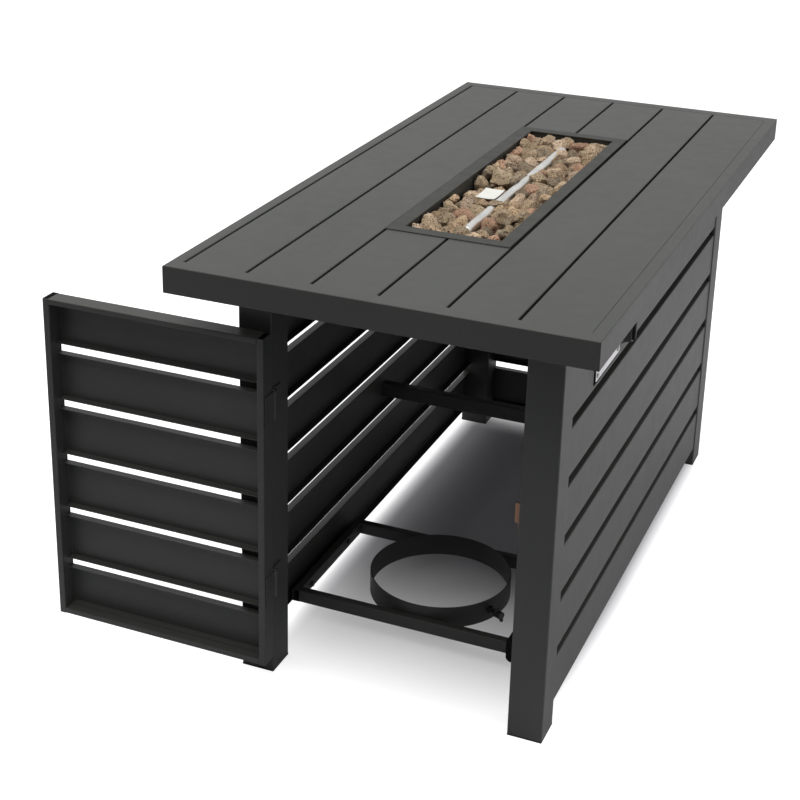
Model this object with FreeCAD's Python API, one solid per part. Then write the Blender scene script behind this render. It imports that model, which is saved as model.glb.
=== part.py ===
import FreeCAD, Part
import math
import os
import random

# Rectangular fire table with a slatted base, a linear burner and a side-hinged door, millimetres.
# X runs across the short side, Y along the length (the door end is at low Y), Z up from the floor.
# The origin is on the floor under the middle of the tabletop. The door is modelled swung fully open.

# Overall sizes
TOP_WIDTH = 584.0
TOP_LENGTH = 1128.0
TOP_HEIGHT = 635.0
TOP_EDGE = 38.0
OVERHANG_X = 64.0
OVERHANG_Y = 85.0

# Tabletop
SIDE_RAIL = 17.0
END_RAIL = 24.0
RAIL_WALL = 1.2
PLANK_COUNT = 6
PLANK_GAP = 4.0
PLANK_GAP_LEFT = 3.5
PLANK_GAP_RIGHT = 0.8
PLANK_GAP_FRONT = 0.3
PLANK_GAP_REAR = 1.5
PLANK_DEPTH = 20.0
PLANK_WALL = 1.2
END_BEARER = 40.0
INNER_BEARER = 30.0
BEARER_WALL = 1.2

# Legs, pads and aprons
LEG = 50.0
LEG_WALL = 1.5
PAD_THICKNESS = 3.0
PLUG_HEIGHT = 20.0
PLUG_CLEARANCE = 0.2
APRON_HEIGHT = 62.0
APRON_THICKNESS = 20.0
APRON_INSET = 3.0
HEADER_HEIGHT = 34.0
TUBE_WALL = 1.2

# Slatted panels
BOARD_COUNT = 6
SLOT = 15.0
PANEL_BOTTOM = 34.0
BOARD_DEPTH = 12.0
BOARD_WALL = 1.0
PANEL_INSET = 2.0

# Burner opening, rim and pan
OPENING_HALF_Y = 300.0
RIM_BAND_X = 19.0
RIM_BAND_Y = 20.0
RIM_LAP_LEFT = 2.5
RIM_LAP_END = 1.0
RIM_THICKNESS = 1.5
PAN_DEPTH = 49.0
PAN_LIP = 2.0
PAN_WALL = 1.5
PAN_FLANGE = 2.0
FLANGE_INSET = 1.0
DRAIN_R = 4.0
DRAIN_HALF_SPACING = (80.0, 230.0)
LEDGE_GAP = 0.5

# Burner tube, its saddles, its inlet and the gas pipe
BURNER_R = 8.0
BURNER_WALL = 1.0
BURNER_HALF = 230.0
BURNER_DROP = 13.0
PORT_COUNT = 30
PORT_PITCH = 15.0
PORT_R = 1.25
SADDLE_Y = 150.0
SADDLE_HALF = 11.0
SADDLE_PLATE = 3.0
SADDLE_FOOT = 2.0
SADDLE_CLEARANCE = 0.1
INLET_R = 6.0
INLET_BORE = 4.0
INLET_TURN = 12.0
NUT_ACROSS = 22.0
NUT_HEIGHT = 8.0
COLLAR_R = 9.0
COLLAR_HEIGHT = 3.0
PIPE_R = 4.0
PIPE_BORE = 3.0
PIPE_INSET = 36.0
PIPE_DROP = 24.0
PIPE_BEND = 18.0
HOLE_CLEARANCE = 0.2

# Spark electrode beside the tube
ELECTRODE_X = 20.0
ELECTRODE_Y = -30.0
ELECTRODE_R = 4.0
ELECTRODE_BELOW = 14.0
ELECTRODE_ABOVE = 22.0
ELECTRODE_COLLAR = 2.0
ELECTRODE_COLLAR_HEIGHT = 3.0
WIRE_R = 1.2
SPARK_GAP = 2.3

# Lava rocks
ROCK_ROWS = 18
ROCK_SIDES = 7
ROCK_GAP = 0.3
ROCK_DROP_LEAST = 7.0
ROCK_DROP_MOST = 23.0
ROCK_SEED = 41
ROCK_FOOT_REACH = 0.72
ROCK_WAIST = 0.38
ROCK_BROW = 0.78
ROCK_BROW_REACH = 0.78
ROCK_REACH_LEAST = 0.84
ROCK_LIFT = 0.06
ROCK_PEAK_SHIFT = 2.0
TUBE_CLEARANCE = 2.6
ELECTRODE_CLEARANCE = 7.0

# Paper tag on the rocks
TAG_X = -42.0
TAG_Y = -76.0
TAG_WIDTH = 30.0
TAG_LENGTH = 50.0
TAG_THICKNESS = 0.8

# Knob, valve and igniter on the right long side, placed from the plate and the panel's top
KNOB_FROM_PLATE = 5.0
KNOB_BELOW = 34.0
KNOB_R = 22.0
KNOB_FACE_R = 17.0
KNOB_LENGTH = 15.0
KNOB_RIB = 3.0
KNOB_SOCKET = 12.0
KNOB_GAP = 0.4
STEM_R = 4.0
STEM_IN_VALVE = 25.0
STEM_HOLE_R = 5.0
RUNNING_GAP = 0.05
VALVE_LENGTH = 48.0
VALVE_HALF = 17.0
OUTLET_R = 7.5
OUTLET_LENGTH = 10.0
OUTLET_STEP = 2.0
NIPPLE_R = 7.9
NIPPLE_LENGTH = 14.0
NIPPLE_BORE = 4.0
PLATE_FROM_FRONT = 151.0
PLATE_LENGTH = 116.0
PLATE_ABOVE = 12.0
PLATE_BELOW = 4.0
PLATE_THICKNESS = 1.5
GASKET = 1.0
GASKET_SIDE = 2.5
GASKET_LOW = 5.0
GASKET_HIGH = 3.0
SCREW_R = 1.6
SCREW_HEAD_R = 3.6
SCREW_HEAD = 1.8
SCREW_INSET = 7.0
SCREW_LENGTH = 7.0
IGNITER_FROM_FRONT = 211.0
IGNITER_RISE = 4.5
IGNITER_R = 8.9
IGNITER_LENGTH = 46.0
BEZEL_R = 12.0
BEZEL = 2.0
TERMINAL_R = 3.0
TERMINAL_LENGTH = 8.0
BUTTON_R = 6.5
BUTTON_TRAVEL = 6.0
BUTTON_LENGTH = 16.0
BUTTON_SPARE = 2.5
BUTTON_ROUND = 1.5

# Door and its hinges
HINGE_PIN_INSET = 5.5
HINGE_PIN_PROUD = 5.0
DOOR_REVEAL = 0.5
DOOR_LATCH_GAP = 9.0
DOOR_THICKNESS = 27.0
STILE = 10.0
DOOR_RAIL = 8.0
KNUCKLE_R = 4.5
HINGE_PIN_R = 2.0
PIN_CLEARANCE = 0.02
LEAF = 1.8
LEAF_DEPTH = 28.0
LEAF_STEP = 4.8
HINGE_HEIGHT = 42.0
HINGE_FROM_FOOT = 98.0
HINGE_FROM_TOP = 127.0
KNUCKLE_GAP = 0.3

# Catch and stop on the right front leg
CATCH_Z = 312.0
CATCH_HEIGHT = 29.0
CATCH_WALL = 2.0
CATCH_REACH = 14.0
CATCH_FROM_FRONT = 6.0
STOP_Z = 97.0
STOP_HEIGHT = 38.0
STOP_REACH = 16.0
STOP_DEPTH = 20.0
STOP_ROUND = 8.0
CLOSE_GAP = 0.4

# Tank tray, ring and clamp screw
TRAY_HEIGHT = 20.0
TRAY_DEPTH = 12.0
TRAY_Z = 34.0
RING_X = -20.0
RING_FROM_FRONT = 256.0
RING_R = 108.0
RING_WALL = 2.0
RING_Z = 36.0
RING_HEIGHT = 34.0
RING_SEAT = 0.2
RING_SCREW_ANGLE = -26.0
RING_SCREW_R = 3.0
RING_NUT_ACROSS = 10.0
RING_NUT_HEIGHT = 5.0
RING_NUT_ROOT = 0.6
RING_TRAVEL = 8.0
WASHER_R = 6.0
WASHER = 1.2
WASHER_GAP = 0.1
SCREW_CAP_R = 6.0
SCREW_CAP = 10.0
SCREW_HEAD_GAP = 2.0
SCREW_BAR_R = 2.0
SCREW_BAR_LENGTH = 30.0
SCREW_BAR_TURN = 25.0
SCREW_BALL_R = 3.0

# Stretcher between the side panels
STRETCHER_Y = 20.0
STRETCHER_DEPTH = 15.0
STRETCHER_BOARD = 2
STRETCHER_RISE = 15.0
STRETCHER_HEIGHT = 24.0

# Base frame and panel faces
BASE_HALF_X = TOP_WIDTH / 2 - OVERHANG_X
BASE_HALF_Y = TOP_LENGTH / 2 - OVERHANG_Y
LEG_INNER_X = BASE_HALF_X - LEG
LEG_INNER_Y = BASE_HALF_Y - LEG
UNDER_TOP = TOP_HEIGHT - TOP_EDGE
PANEL_TOP = UNDER_TOP - APRON_HEIGHT
BOARD_HEIGHT = (PANEL_TOP - PANEL_BOTTOM - (BOARD_COUNT - 1) * SLOT) / BOARD_COUNT
PANEL_FACE_X = BASE_HALF_X - PANEL_INSET
PANEL_FACE_Y = BASE_HALF_Y - PANEL_INSET

# Deck, rim and pan levels
BEARER_TOP = TOP_HEIGHT - PLANK_DEPTH
DECK_HALF_X = TOP_WIDTH / 2 - SIDE_RAIL
DECK_HALF_Y = TOP_LENGTH / 2 - END_RAIL
PLANK_PITCH = 2 * DECK_HALF_X / PLANK_COUNT
OPENING_HALF_X = PLANK_PITCH - PLANK_GAP / 2
RIM_INNER_X = OPENING_HALF_X - RIM_BAND_X
RIM_INNER_Y = OPENING_HALF_Y - RIM_BAND_Y
RIM_TOP = TOP_HEIGHT + RIM_THICKNESS
PAN_FLOOR = TOP_HEIGHT - PAN_DEPTH
PAN_INSIDE = PAN_FLOOR + PAN_WALL
PAN_HALF_X = RIM_INNER_X + PAN_LIP + PAN_WALL
PAN_HALF_Y = RIM_INNER_Y + PAN_LIP + PAN_WALL
LEDGE_TOP = TOP_HEIGHT - PAN_FLANGE
BURNER_Z = TOP_HEIGHT - BURNER_DROP
PIPE_Z = PAN_FLOOR - PIPE_DROP
PIPE_X = PANEL_FACE_X - PIPE_INSET

# Places of the controls
BOARD_BACK = PANEL_FACE_X - BOARD_WALL
PLATE_Y0 = PLATE_FROM_FRONT - BASE_HALF_Y
PLATE_Y1 = PLATE_Y0 + PLATE_LENGTH
KNOB_Y = PLATE_Y1 + KNOB_FROM_PLATE + KNOB_R
KNOB_Z = PANEL_TOP - KNOB_BELOW
PLATE_Z0 = PANEL_TOP - BOARD_HEIGHT + PLATE_ABOVE
PLATE_Z1 = PANEL_TOP - PLATE_BELOW
PLATE_BACK = PANEL_FACE_X + GASKET
PLATE_FRONT = PLATE_BACK + PLATE_THICKNESS
IGNITER_Y = IGNITER_FROM_FRONT - BASE_HALF_Y
IGNITER_Z = (PLATE_Z0 + PLATE_Z1) / 2 + IGNITER_RISE

# Places of the door, closed and open
HINGE_X = HINGE_PIN_INSET - LEG_INNER_X
HINGE_Y = -BASE_HALF_Y - HINGE_PIN_PROUD
DOOR_WIDTH = LEG_INNER_X - DOOR_LATCH_GAP - (HINGE_X - DOOR_REVEAL)
DOOR_CLOSED_BACK = DOOR_THICKNESS - BASE_HALF_Y
DOOR_EDGE = HINGE_X + DOOR_REVEAL
DOOR_OUTER = 2 * HINGE_Y + BASE_HALF_Y
DOOR_INNER = DOOR_OUTER - DOOR_THICKNESS
HINGE_FEET = (PANEL_BOTTOM + HINGE_FROM_FOOT, PANEL_TOP - HINGE_FROM_TOP)

# Places of the ring and its tray
RING_Y = RING_FROM_FRONT - BASE_HALF_Y
FRONT_RAIL_Y = RING_Y - RING_R - RING_SEAT - TRAY_DEPTH
REAR_RAIL_Y = RING_Y + RING_R + RING_SEAT
RING_MIDDLE = RING_Z + RING_HEIGHT / 2
SCREW_HEAD_START = RING_R + RING_NUT_HEIGHT + RING_TRAVEL + SCREW_HEAD_GAP


def box(x0, x1, y0, y1, z0, z1):
    return Part.makeBox(x1 - x0, y1 - y0, z1 - z0, FreeCAD.Vector(x0, y0, z0))


def cyl(x, y, z, r, h, axis=(0, 0, 1)):
    return Part.makeCylinder(r, h, FreeCAD.Vector(x, y, z), FreeCAD.Vector(*axis))


def along_x(x0, x1, y, z, r):
    return cyl(x0, y, z, r, x1 - x0, (1, 0, 0))


def along_y(x, y0, y1, z, r):
    return cyl(x, y0, z, r, y1 - y0, (0, 1, 0))


# A flat outline of X and Y corners, raised from one height to another
def prism(points, z0, z1):
    corners = [FreeCAD.Vector(x, y, z0) for x, y in points]
    outline = Part.makePolygon(corners + corners[:1])
    return Part.Face(outline).extrude(FreeCAD.Vector(0, 0, z1 - z0))


def mirror_x(shape):
    return shape.mirror(FreeCAD.Vector(0, 0, 0), FreeCAD.Vector(1, 0, 0))


def mirror_y(shape):
    return shape.mirror(FreeCAD.Vector(0, 0, 0), FreeCAD.Vector(0, 1, 0))


def save(name, solids):
    if not isinstance(solids, list):
        solids = [solids]
    shape = solids[0] if len(solids) == 1 else Part.makeCompound(solids)
    shape.exportStep("parts/" + name + ".step")
    print(name, len(shape.Solids), round(shape.Volume / 1000.0, 1), shape.isValid())


# Square-cornered hollow tube that runs along X
def tube_x(x0, x1, y0, y1, z0, z1, wall):
    return box(x0, x1, y0, y1, z0, z1).cut(box(x0, x1, y0 + wall, y1 - wall, z0 + wall, z1 - wall))


# Square-cornered hollow tube that runs along Y
def tube_y(x0, x1, y0, y1, z0, z1, wall):
    return box(x0, x1, y0, y1, z0, z1).cut(box(x0 + wall, x1 - wall, y0, y1, z0 + wall, z1 - wall))


# Square-cornered hollow tube that stands upright
def tube_z(x0, x1, y0, y1, z0, z1, wall):
    return box(x0, x1, y0, y1, z0, z1).cut(box(x0 + wall, x1 - wall, y0 + wall, y1 - wall, z0, z1))


# Mitred hollow rail on the right long edge of the tabletop
def side_rail():
    x = TOP_WIDTH / 2
    y = TOP_LENGTH / 2
    outline = [(x, -y), (x, y), (DECK_HALF_X, DECK_HALF_Y), (DECK_HALF_X, -DECK_HALF_Y)]
    rail = prism(outline, UNDER_TOP, TOP_HEIGHT)
    inside = box(DECK_HALF_X + RAIL_WALL, x - RAIL_WALL, -y, y, UNDER_TOP + RAIL_WALL, TOP_HEIGHT - RAIL_WALL)
    return rail.cut(inside)


# Mitred hollow rail on the far short edge of the tabletop
def end_rail():
    x = TOP_WIDTH / 2
    y = TOP_LENGTH / 2
    outline = [(-x, y), (x, y), (DECK_HALF_X, DECK_HALF_Y), (-DECK_HALF_X, DECK_HALF_Y)]
    rail = prism(outline, UNDER_TOP, TOP_HEIGHT)
    inside = box(-x, x, DECK_HALF_Y + RAIL_WALL, y - RAIL_WALL, UNDER_TOP + RAIL_WALL, TOP_HEIGHT - RAIL_WALL)
    return rail.cut(inside)


# Folded plank, open underneath, between two places along the deck
def plank(number, y0, y1):
    gap_left = PLANK_GAP_LEFT if number == 1 else PLANK_GAP / 2
    gap_right = PLANK_GAP_RIGHT if number == PLANK_COUNT else PLANK_GAP / 2
    x0 = -DECK_HALF_X + (number - 1) * PLANK_PITCH + gap_left
    x1 = -DECK_HALF_X + number * PLANK_PITCH - gap_right
    body = box(x0, x1, y0, y1, BEARER_TOP, TOP_HEIGHT)
    return body.cut(box(x0 + PLANK_WALL, x1 - PLANK_WALL, y0, y1, BEARER_TOP, TOP_HEIGHT - PLANK_WALL))


# Hollow bars under the planks, over the legs
def bearers_end():
    near = BASE_HALF_Y - END_BEARER
    bar = tube_x(-DECK_HALF_X, DECK_HALF_X, near, BASE_HALF_Y, UNDER_TOP, BEARER_TOP, BEARER_WALL)
    return [bar, mirror_y(bar)]


# Hollow bars under the planks, at the ends of the pan
def bearers_inner():
    near = PAN_HALF_Y + LEDGE_GAP
    bar = tube_x(-DECK_HALF_X, DECK_HALF_X, near, near + INNER_BEARER, UNDER_TOP, BEARER_TOP, BEARER_WALL)
    return [bar, mirror_y(bar)]


# Short hollow bars under the planks, at the middle of the pan's long sides
def bearers_mid():
    half = INNER_BEARER / 2
    bar = tube_x(PAN_HALF_X + LEDGE_GAP, DECK_HALF_X, -half, half, UNDER_TOP, BEARER_TOP, BEARER_WALL)
    return [bar, mirror_x(bar)]


# Flat frame of four welded strips on the pan's flange, lapped over the cut planks' ends and the groove
# on its left
def burner_rim():
    end = OPENING_HALF_Y + RIM_LAP_END
    left_strip = box(-OPENING_HALF_X - RIM_LAP_LEFT, -RIM_INNER_X, -end, end, TOP_HEIGHT, RIM_TOP)
    right_strip = box(RIM_INNER_X, OPENING_HALF_X, -end, end, TOP_HEIGHT, RIM_TOP)
    end_strip = box(-RIM_INNER_X, RIM_INNER_X, RIM_INNER_Y, end, TOP_HEIGHT, RIM_TOP)
    return [left_strip, right_strip, end_strip, mirror_y(end_strip)]


# Open welded pan hung by its flange under the rim, with drain holes in its floor
def burner_pan():
    flange_x = OPENING_HALF_X - FLANGE_INSET
    flange_y = OPENING_HALF_Y - FLANGE_INSET
    inside_x = PAN_HALF_X - PAN_WALL
    inside_y = PAN_HALF_Y - PAN_WALL
    floor = box(-PAN_HALF_X, PAN_HALF_X, -PAN_HALF_Y, PAN_HALF_Y, PAN_FLOOR, PAN_INSIDE)
    long_wall = box(inside_x, PAN_HALF_X, -PAN_HALF_Y, PAN_HALF_Y, PAN_INSIDE, TOP_HEIGHT)
    end_wall = box(-inside_x, inside_x, inside_y, PAN_HALF_Y, PAN_INSIDE, TOP_HEIGHT)
    long_flange = box(PAN_HALF_X, flange_x, -flange_y, flange_y, LEDGE_TOP, TOP_HEIGHT)
    end_flange = box(-PAN_HALF_X, PAN_HALF_X, PAN_HALF_Y, flange_y, LEDGE_TOP, TOP_HEIGHT)
    holes = [cyl(0, 0, PAN_FLOOR, INLET_R + HOLE_CLEARANCE, PAN_WALL)]
    holes.append(cyl(ELECTRODE_X, ELECTRODE_Y, PAN_FLOOR, ELECTRODE_R + HOLE_CLEARANCE, PAN_WALL))
    for y in DRAIN_HALF_SPACING:
        holes.append(cyl(0, y, PAN_FLOOR, DRAIN_R, PAN_WALL))
        holes.append(cyl(0, -y, PAN_FLOOR, DRAIN_R, PAN_WALL))
    floor = floor.cut(Part.makeCompound(holes))
    sides = [long_wall, mirror_x(long_wall), end_wall, mirror_y(end_wall)]
    return [floor] + sides + [long_flange, mirror_x(long_flange), end_flange, mirror_y(end_flange)]


# Hollow bars that carry the pan's flange, two long and two short
def pan_ledges():
    inner_x = PAN_HALF_X + LEDGE_GAP
    inner_y = PAN_HALF_Y + LEDGE_GAP
    outer_x = OPENING_HALF_X - FLANGE_INSET
    outer_y = OPENING_HALF_Y - FLANGE_INSET
    long_bar = tube_y(inner_x, outer_x, -outer_y, outer_y, BEARER_TOP, LEDGE_TOP, BEARER_WALL)
    short_bar = tube_x(-PAN_HALF_X, PAN_HALF_X, inner_y, outer_y, BEARER_TOP, LEDGE_TOP, BEARER_WALL)
    return [long_bar, mirror_x(long_bar), short_bar, mirror_y(short_bar)]


# Straight burner tube with closed ends and a row of ports along its crown
def burner_tube():
    inner = BURNER_HALF - BURNER_WALL
    tube = along_y(0, -BURNER_HALF, BURNER_HALF, BURNER_Z, BURNER_R)
    tube = tube.cut(along_y(0, -inner, inner, BURNER_Z, BURNER_R - BURNER_WALL))
    tube = tube.cut(cyl(0, 0, BURNER_Z - 2 * BURNER_R, INLET_BORE, 2 * BURNER_R))
    first = -(PORT_COUNT - 1) * PORT_PITCH / 2
    ports = [cyl(0, first + i * PORT_PITCH, BURNER_Z, PORT_R, 2 * BURNER_R) for i in range(PORT_COUNT)]
    return tube.cut(Part.makeCompound(ports))


# Folded saddles under the tube
def burner_brackets():
    saddles = []
    for y in (-SADDLE_Y, SADDLE_Y):
        near = y - SADDLE_PLATE / 2
        upright = box(-SADDLE_HALF, SADDLE_HALF, near, near + SADDLE_PLATE, PAN_INSIDE, BURNER_Z)
        foot = box(-SADDLE_HALF, SADDLE_HALF, near, near + SADDLE_HALF, PAN_INSIDE, PAN_INSIDE + SADDLE_FOOT)
        seat = along_y(0, near - SADDLE_PLATE, near + 2 * SADDLE_HALF, BURNER_Z, BURNER_R + SADDLE_CLEARANCE)
        saddles.append(upright.fuse(foot).cut(seat).removeSplitter())
    return saddles


def hexagon(across, z0, z1):
    radius = across / 2 / math.cos(math.pi / 6)
    angles = [math.radians(60 * i + 30) for i in range(6)]
    return prism([(radius * math.cos(a), radius * math.sin(a)) for a in angles], z0, z1)


# Upright inlet from the gas pipe into the tube, with its nut under the pan and its collar above
def burner_inlet():
    foot = PIPE_Z + INLET_TURN
    inlet = cyl(0, 0, foot, INLET_R, BURNER_Z - foot)
    inlet = inlet.fuse(hexagon(NUT_ACROSS, PAN_FLOOR - NUT_HEIGHT, PAN_FLOOR))
    inlet = inlet.fuse(cyl(0, 0, PAN_INSIDE, COLLAR_R, COLLAR_HEIGHT))
    inlet = inlet.cut(cyl(0, 0, foot, INLET_BORE, BURNER_Z - foot))
    return inlet.cut(along_y(0, -COLLAR_R, COLLAR_R, BURNER_Z, BURNER_R))


# Ceramic sleeve through the pan floor, and a bent wire that ends a spark's length from the tube
def igniter_electrode():
    top = PAN_INSIDE + ELECTRODE_ABOVE
    sleeve = cyl(ELECTRODE_X, ELECTRODE_Y, PAN_FLOOR - ELECTRODE_BELOW, ELECTRODE_R,
                 ELECTRODE_BELOW + PAN_WALL + ELECTRODE_ABOVE)
    collar_r = ELECTRODE_R + ELECTRODE_COLLAR
    sleeve = sleeve.fuse(cyl(ELECTRODE_X, ELECTRODE_Y, PAN_INSIDE, collar_r, ELECTRODE_COLLAR_HEIGHT))
    wire = cyl(ELECTRODE_X, ELECTRODE_Y, top, WIRE_R, BURNER_Z + 2 * WIRE_R - top)
    wire = wire.fuse(along_x(BURNER_R + SPARK_GAP, ELECTRODE_X, ELECTRODE_Y, BURNER_Z, WIRE_R))
    return [sleeve, wire]


# One ring of a rock's corners at a share of its height
def rock_corners(rng, centre, half, turn, z0, z1, level, reach):
    corners = []
    for i in range(ROCK_SIDES):
        angle = turn + 2 * math.pi * i / ROCK_SIDES
        size = reach * rng.uniform(ROCK_REACH_LEAST, 1.0)
        lift = rng.uniform(-ROCK_LIFT, ROCK_LIFT) if level > 0 else 0
        x = centre[0] + half[0] * size * math.cos(angle)
        y = centre[1] + half[1] * size * math.sin(angle)
        corners.append(FreeCAD.Vector(x, y, z0 + (level + lift) * (z1 - z0)))
    return corners


def triangle(a, b, c):
    return Part.Face(Part.makePolygon([a, b, c, a]))


# One rock: a faceted closed lump with a flat underside, kept inside its own cell
def rock(rng, centre, half, z0, z1):
    turn = rng.uniform(0, 2 * math.pi)
    foot = rock_corners(rng, centre, half, turn, z0, z1, 0, ROCK_FOOT_REACH)
    waist = rock_corners(rng, centre, half, turn, z0, z1, ROCK_WAIST, 1)
    brow = rock_corners(rng, centre, half, turn, z0, z1, ROCK_BROW, ROCK_BROW_REACH)
    shift = (rng.uniform(-ROCK_PEAK_SHIFT, ROCK_PEAK_SHIFT), rng.uniform(-ROCK_PEAK_SHIFT, ROCK_PEAK_SHIFT))
    peak = FreeCAD.Vector(centre[0] + shift[0], centre[1] + shift[1], z1)
    faces = [Part.Face(Part.makePolygon(foot + foot[:1]))]
    for i in range(ROCK_SIDES):
        j = (i + 1) % ROCK_SIDES
        for low, high in ((foot, waist), (waist, brow)):
            faces.append(triangle(low[i], low[j], high[j]))
            faces.append(triangle(low[i], high[j], high[i]))
        faces.append(triangle(brow[i], brow[j], peak))
    solid = Part.makeSolid(Part.makeShell(faces))
    if solid.Volume < 0:
        solid.reverse()
    return solid


# Bed of lava rocks in two rows each side of the tube, standing on the pan floor
def lava_rocks():
    rng = random.Random(ROCK_SEED)
    strip = BURNER_R + TUBE_CLEARANCE
    pitch = 2 * (RIM_INNER_Y - LEDGE_GAP) / ROCK_ROWS
    column = (RIM_INNER_X - LEDGE_GAP - strip) / 2
    half = (column / 2 - ROCK_GAP, pitch / 2 - ROCK_GAP)
    rocks = []
    for row in range(ROCK_ROWS):
        y = (row + 0.5 - ROCK_ROWS / 2) * pitch
        for side, place in ((-1, 0), (-1, 1), (1, 0), (1, 1)):
            x = side * (strip + (place + 0.5) * column)
            top = TOP_HEIGHT - rng.uniform(ROCK_DROP_LEAST, ROCK_DROP_MOST)
            clear_x = abs(x - ELECTRODE_X) > half[0] + ELECTRODE_CLEARANCE
            clear_y = abs(y - ELECTRODE_Y) > half[1] + ELECTRODE_CLEARANCE
            if clear_x or clear_y:
                rocks.append(rock(rng, (x, y), half, PAN_INSIDE, top))
    return rocks


# Blank paper tag lying on the highest rock under it
def paper_tag(rocks):
    x1 = TAG_X + TAG_WIDTH
    y1 = TAG_Y + TAG_LENGTH
    column = box(TAG_X, x1, TAG_Y, y1, PAN_INSIDE, TOP_HEIGHT)
    under = [stone.common(column) for stone in rocks if stone.BoundBox.intersect(column.BoundBox)]
    level = max(piece.BoundBox.ZMax for piece in under if piece.Volume > 0) + ROCK_GAP
    return box(TAG_X, x1, TAG_Y, y1, level, level + TAG_THICKNESS)


# Square tube leg at the right rear corner
def leg():
    return tube_z(LEG_INNER_X, BASE_HALF_X, LEG_INNER_Y, BASE_HALF_Y, PAD_THICKNESS, UNDER_TOP, LEG_WALL)


# Plastic pads plugged into the leg ends
def foot_glides():
    inset = LEG_WALL + PLUG_CLEARANCE
    pad = box(LEG_INNER_X, BASE_HALF_X, LEG_INNER_Y, BASE_HALF_Y, 0, PAD_THICKNESS)
    glide = pad.fuse(box(LEG_INNER_X + inset, BASE_HALF_X - inset, LEG_INNER_Y + inset, BASE_HALF_Y - inset,
                         PAD_THICKNESS, PLUG_HEIGHT))
    return [glide, mirror_x(glide), mirror_y(glide), mirror_x(mirror_y(glide))]


# Hollow aprons over the side panels
def aprons_side():
    face = BASE_HALF_X - APRON_INSET
    apron = tube_y(face - APRON_THICKNESS, face, -LEG_INNER_Y, LEG_INNER_Y, PANEL_TOP, UNDER_TOP, TUBE_WALL)
    return [apron, mirror_x(apron)]


def apron_rear():
    face = BASE_HALF_Y - APRON_INSET
    return tube_x(-LEG_INNER_X, LEG_INNER_X, face - APRON_THICKNESS, face, PANEL_TOP, UNDER_TOP, TUBE_WALL)


def apron_front():
    face = BASE_HALF_Y - APRON_INSET
    foot = UNDER_TOP - HEADER_HEIGHT
    return tube_x(-LEG_INNER_X, LEG_INNER_X, -face, APRON_THICKNESS - face, foot, UNDER_TOP, TUBE_WALL)


def board_foot(index):
    return PANEL_BOTTOM + index * (BOARD_HEIGHT + SLOT)


# Folded side board on the right, its open side inwards
def side_board(index):
    z0 = board_foot(index)
    z1 = z0 + BOARD_HEIGHT
    back = PANEL_FACE_X - BOARD_DEPTH
    body = box(back, PANEL_FACE_X, -LEG_INNER_Y, LEG_INNER_Y, z0, z1)
    return body.cut(box(back, BOARD_BACK, -LEG_INNER_Y, LEG_INNER_Y, z0 + BOARD_WALL, z1 - BOARD_WALL))


def rear_board(index):
    z0 = board_foot(index)
    z1 = z0 + BOARD_HEIGHT
    back = PANEL_FACE_Y - BOARD_DEPTH
    web = PANEL_FACE_Y - BOARD_WALL
    body = box(-LEG_INNER_X, LEG_INNER_X, back, PANEL_FACE_Y, z0, z1)
    return body.cut(box(-LEG_INNER_X, LEG_INNER_X, back, web, z0 + BOARD_WALL, z1 - BOARD_WALL))


def plate_screw_places():
    ys = (PLATE_Y0 + SCREW_INSET, PLATE_Y1 - SCREW_INSET)
    zs = (PLATE_Z0 + SCREW_INSET, PLATE_Z1 - SCREW_INSET)
    return [(y, z) for y in ys for z in zs]


# Holes for the igniter and the plate screws through a layer between two X faces
def control_holes(x0, x1):
    holes = [along_x(x0, x1, IGNITER_Y, IGNITER_Z, IGNITER_R + HOLE_CLEARANCE)]
    for y, z in plate_screw_places():
        holes.append(along_x(x0, x1, y, z, SCREW_R + HOLE_CLEARANCE))
    return Part.makeCompound(holes)


# Top board on the right, drilled for the valve stem, the igniter and the plate screws
def control_board():
    board = side_board(BOARD_COUNT - 1)
    board = board.cut(along_x(BOARD_BACK, PANEL_FACE_X, KNOB_Y, KNOB_Z, STEM_HOLE_R))
    return board.cut(control_holes(BOARD_BACK, PANEL_FACE_X))


# Dark gasket that shows as a thin line round the plate
def control_gasket():
    sheet = box(PANEL_FACE_X, PLATE_BACK, PLATE_Y0 - GASKET_SIDE, PLATE_Y1 + GASKET_SIDE,
                PLATE_Z0 - GASKET_LOW, PLATE_Z1 + GASKET_HIGH)
    return sheet.cut(control_holes(PANEL_FACE_X, PLATE_BACK))


# Blank steel plate over the gasket
def control_plate():
    plate = box(PLATE_BACK, PLATE_FRONT, PLATE_Y0, PLATE_Y1, PLATE_Z0, PLATE_Z1)
    return plate.cut(control_holes(PLATE_BACK, PLATE_FRONT))


def control_screws():
    screws = []
    for y, z in plate_screw_places():
        shank = along_x(PLATE_FRONT - SCREW_LENGTH, PLATE_FRONT, y, z, SCREW_R)
        screws.append(shank.fuse(along_x(PLATE_FRONT, PLATE_FRONT + SCREW_HEAD, y, z, SCREW_HEAD_R)))
    return screws


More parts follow.
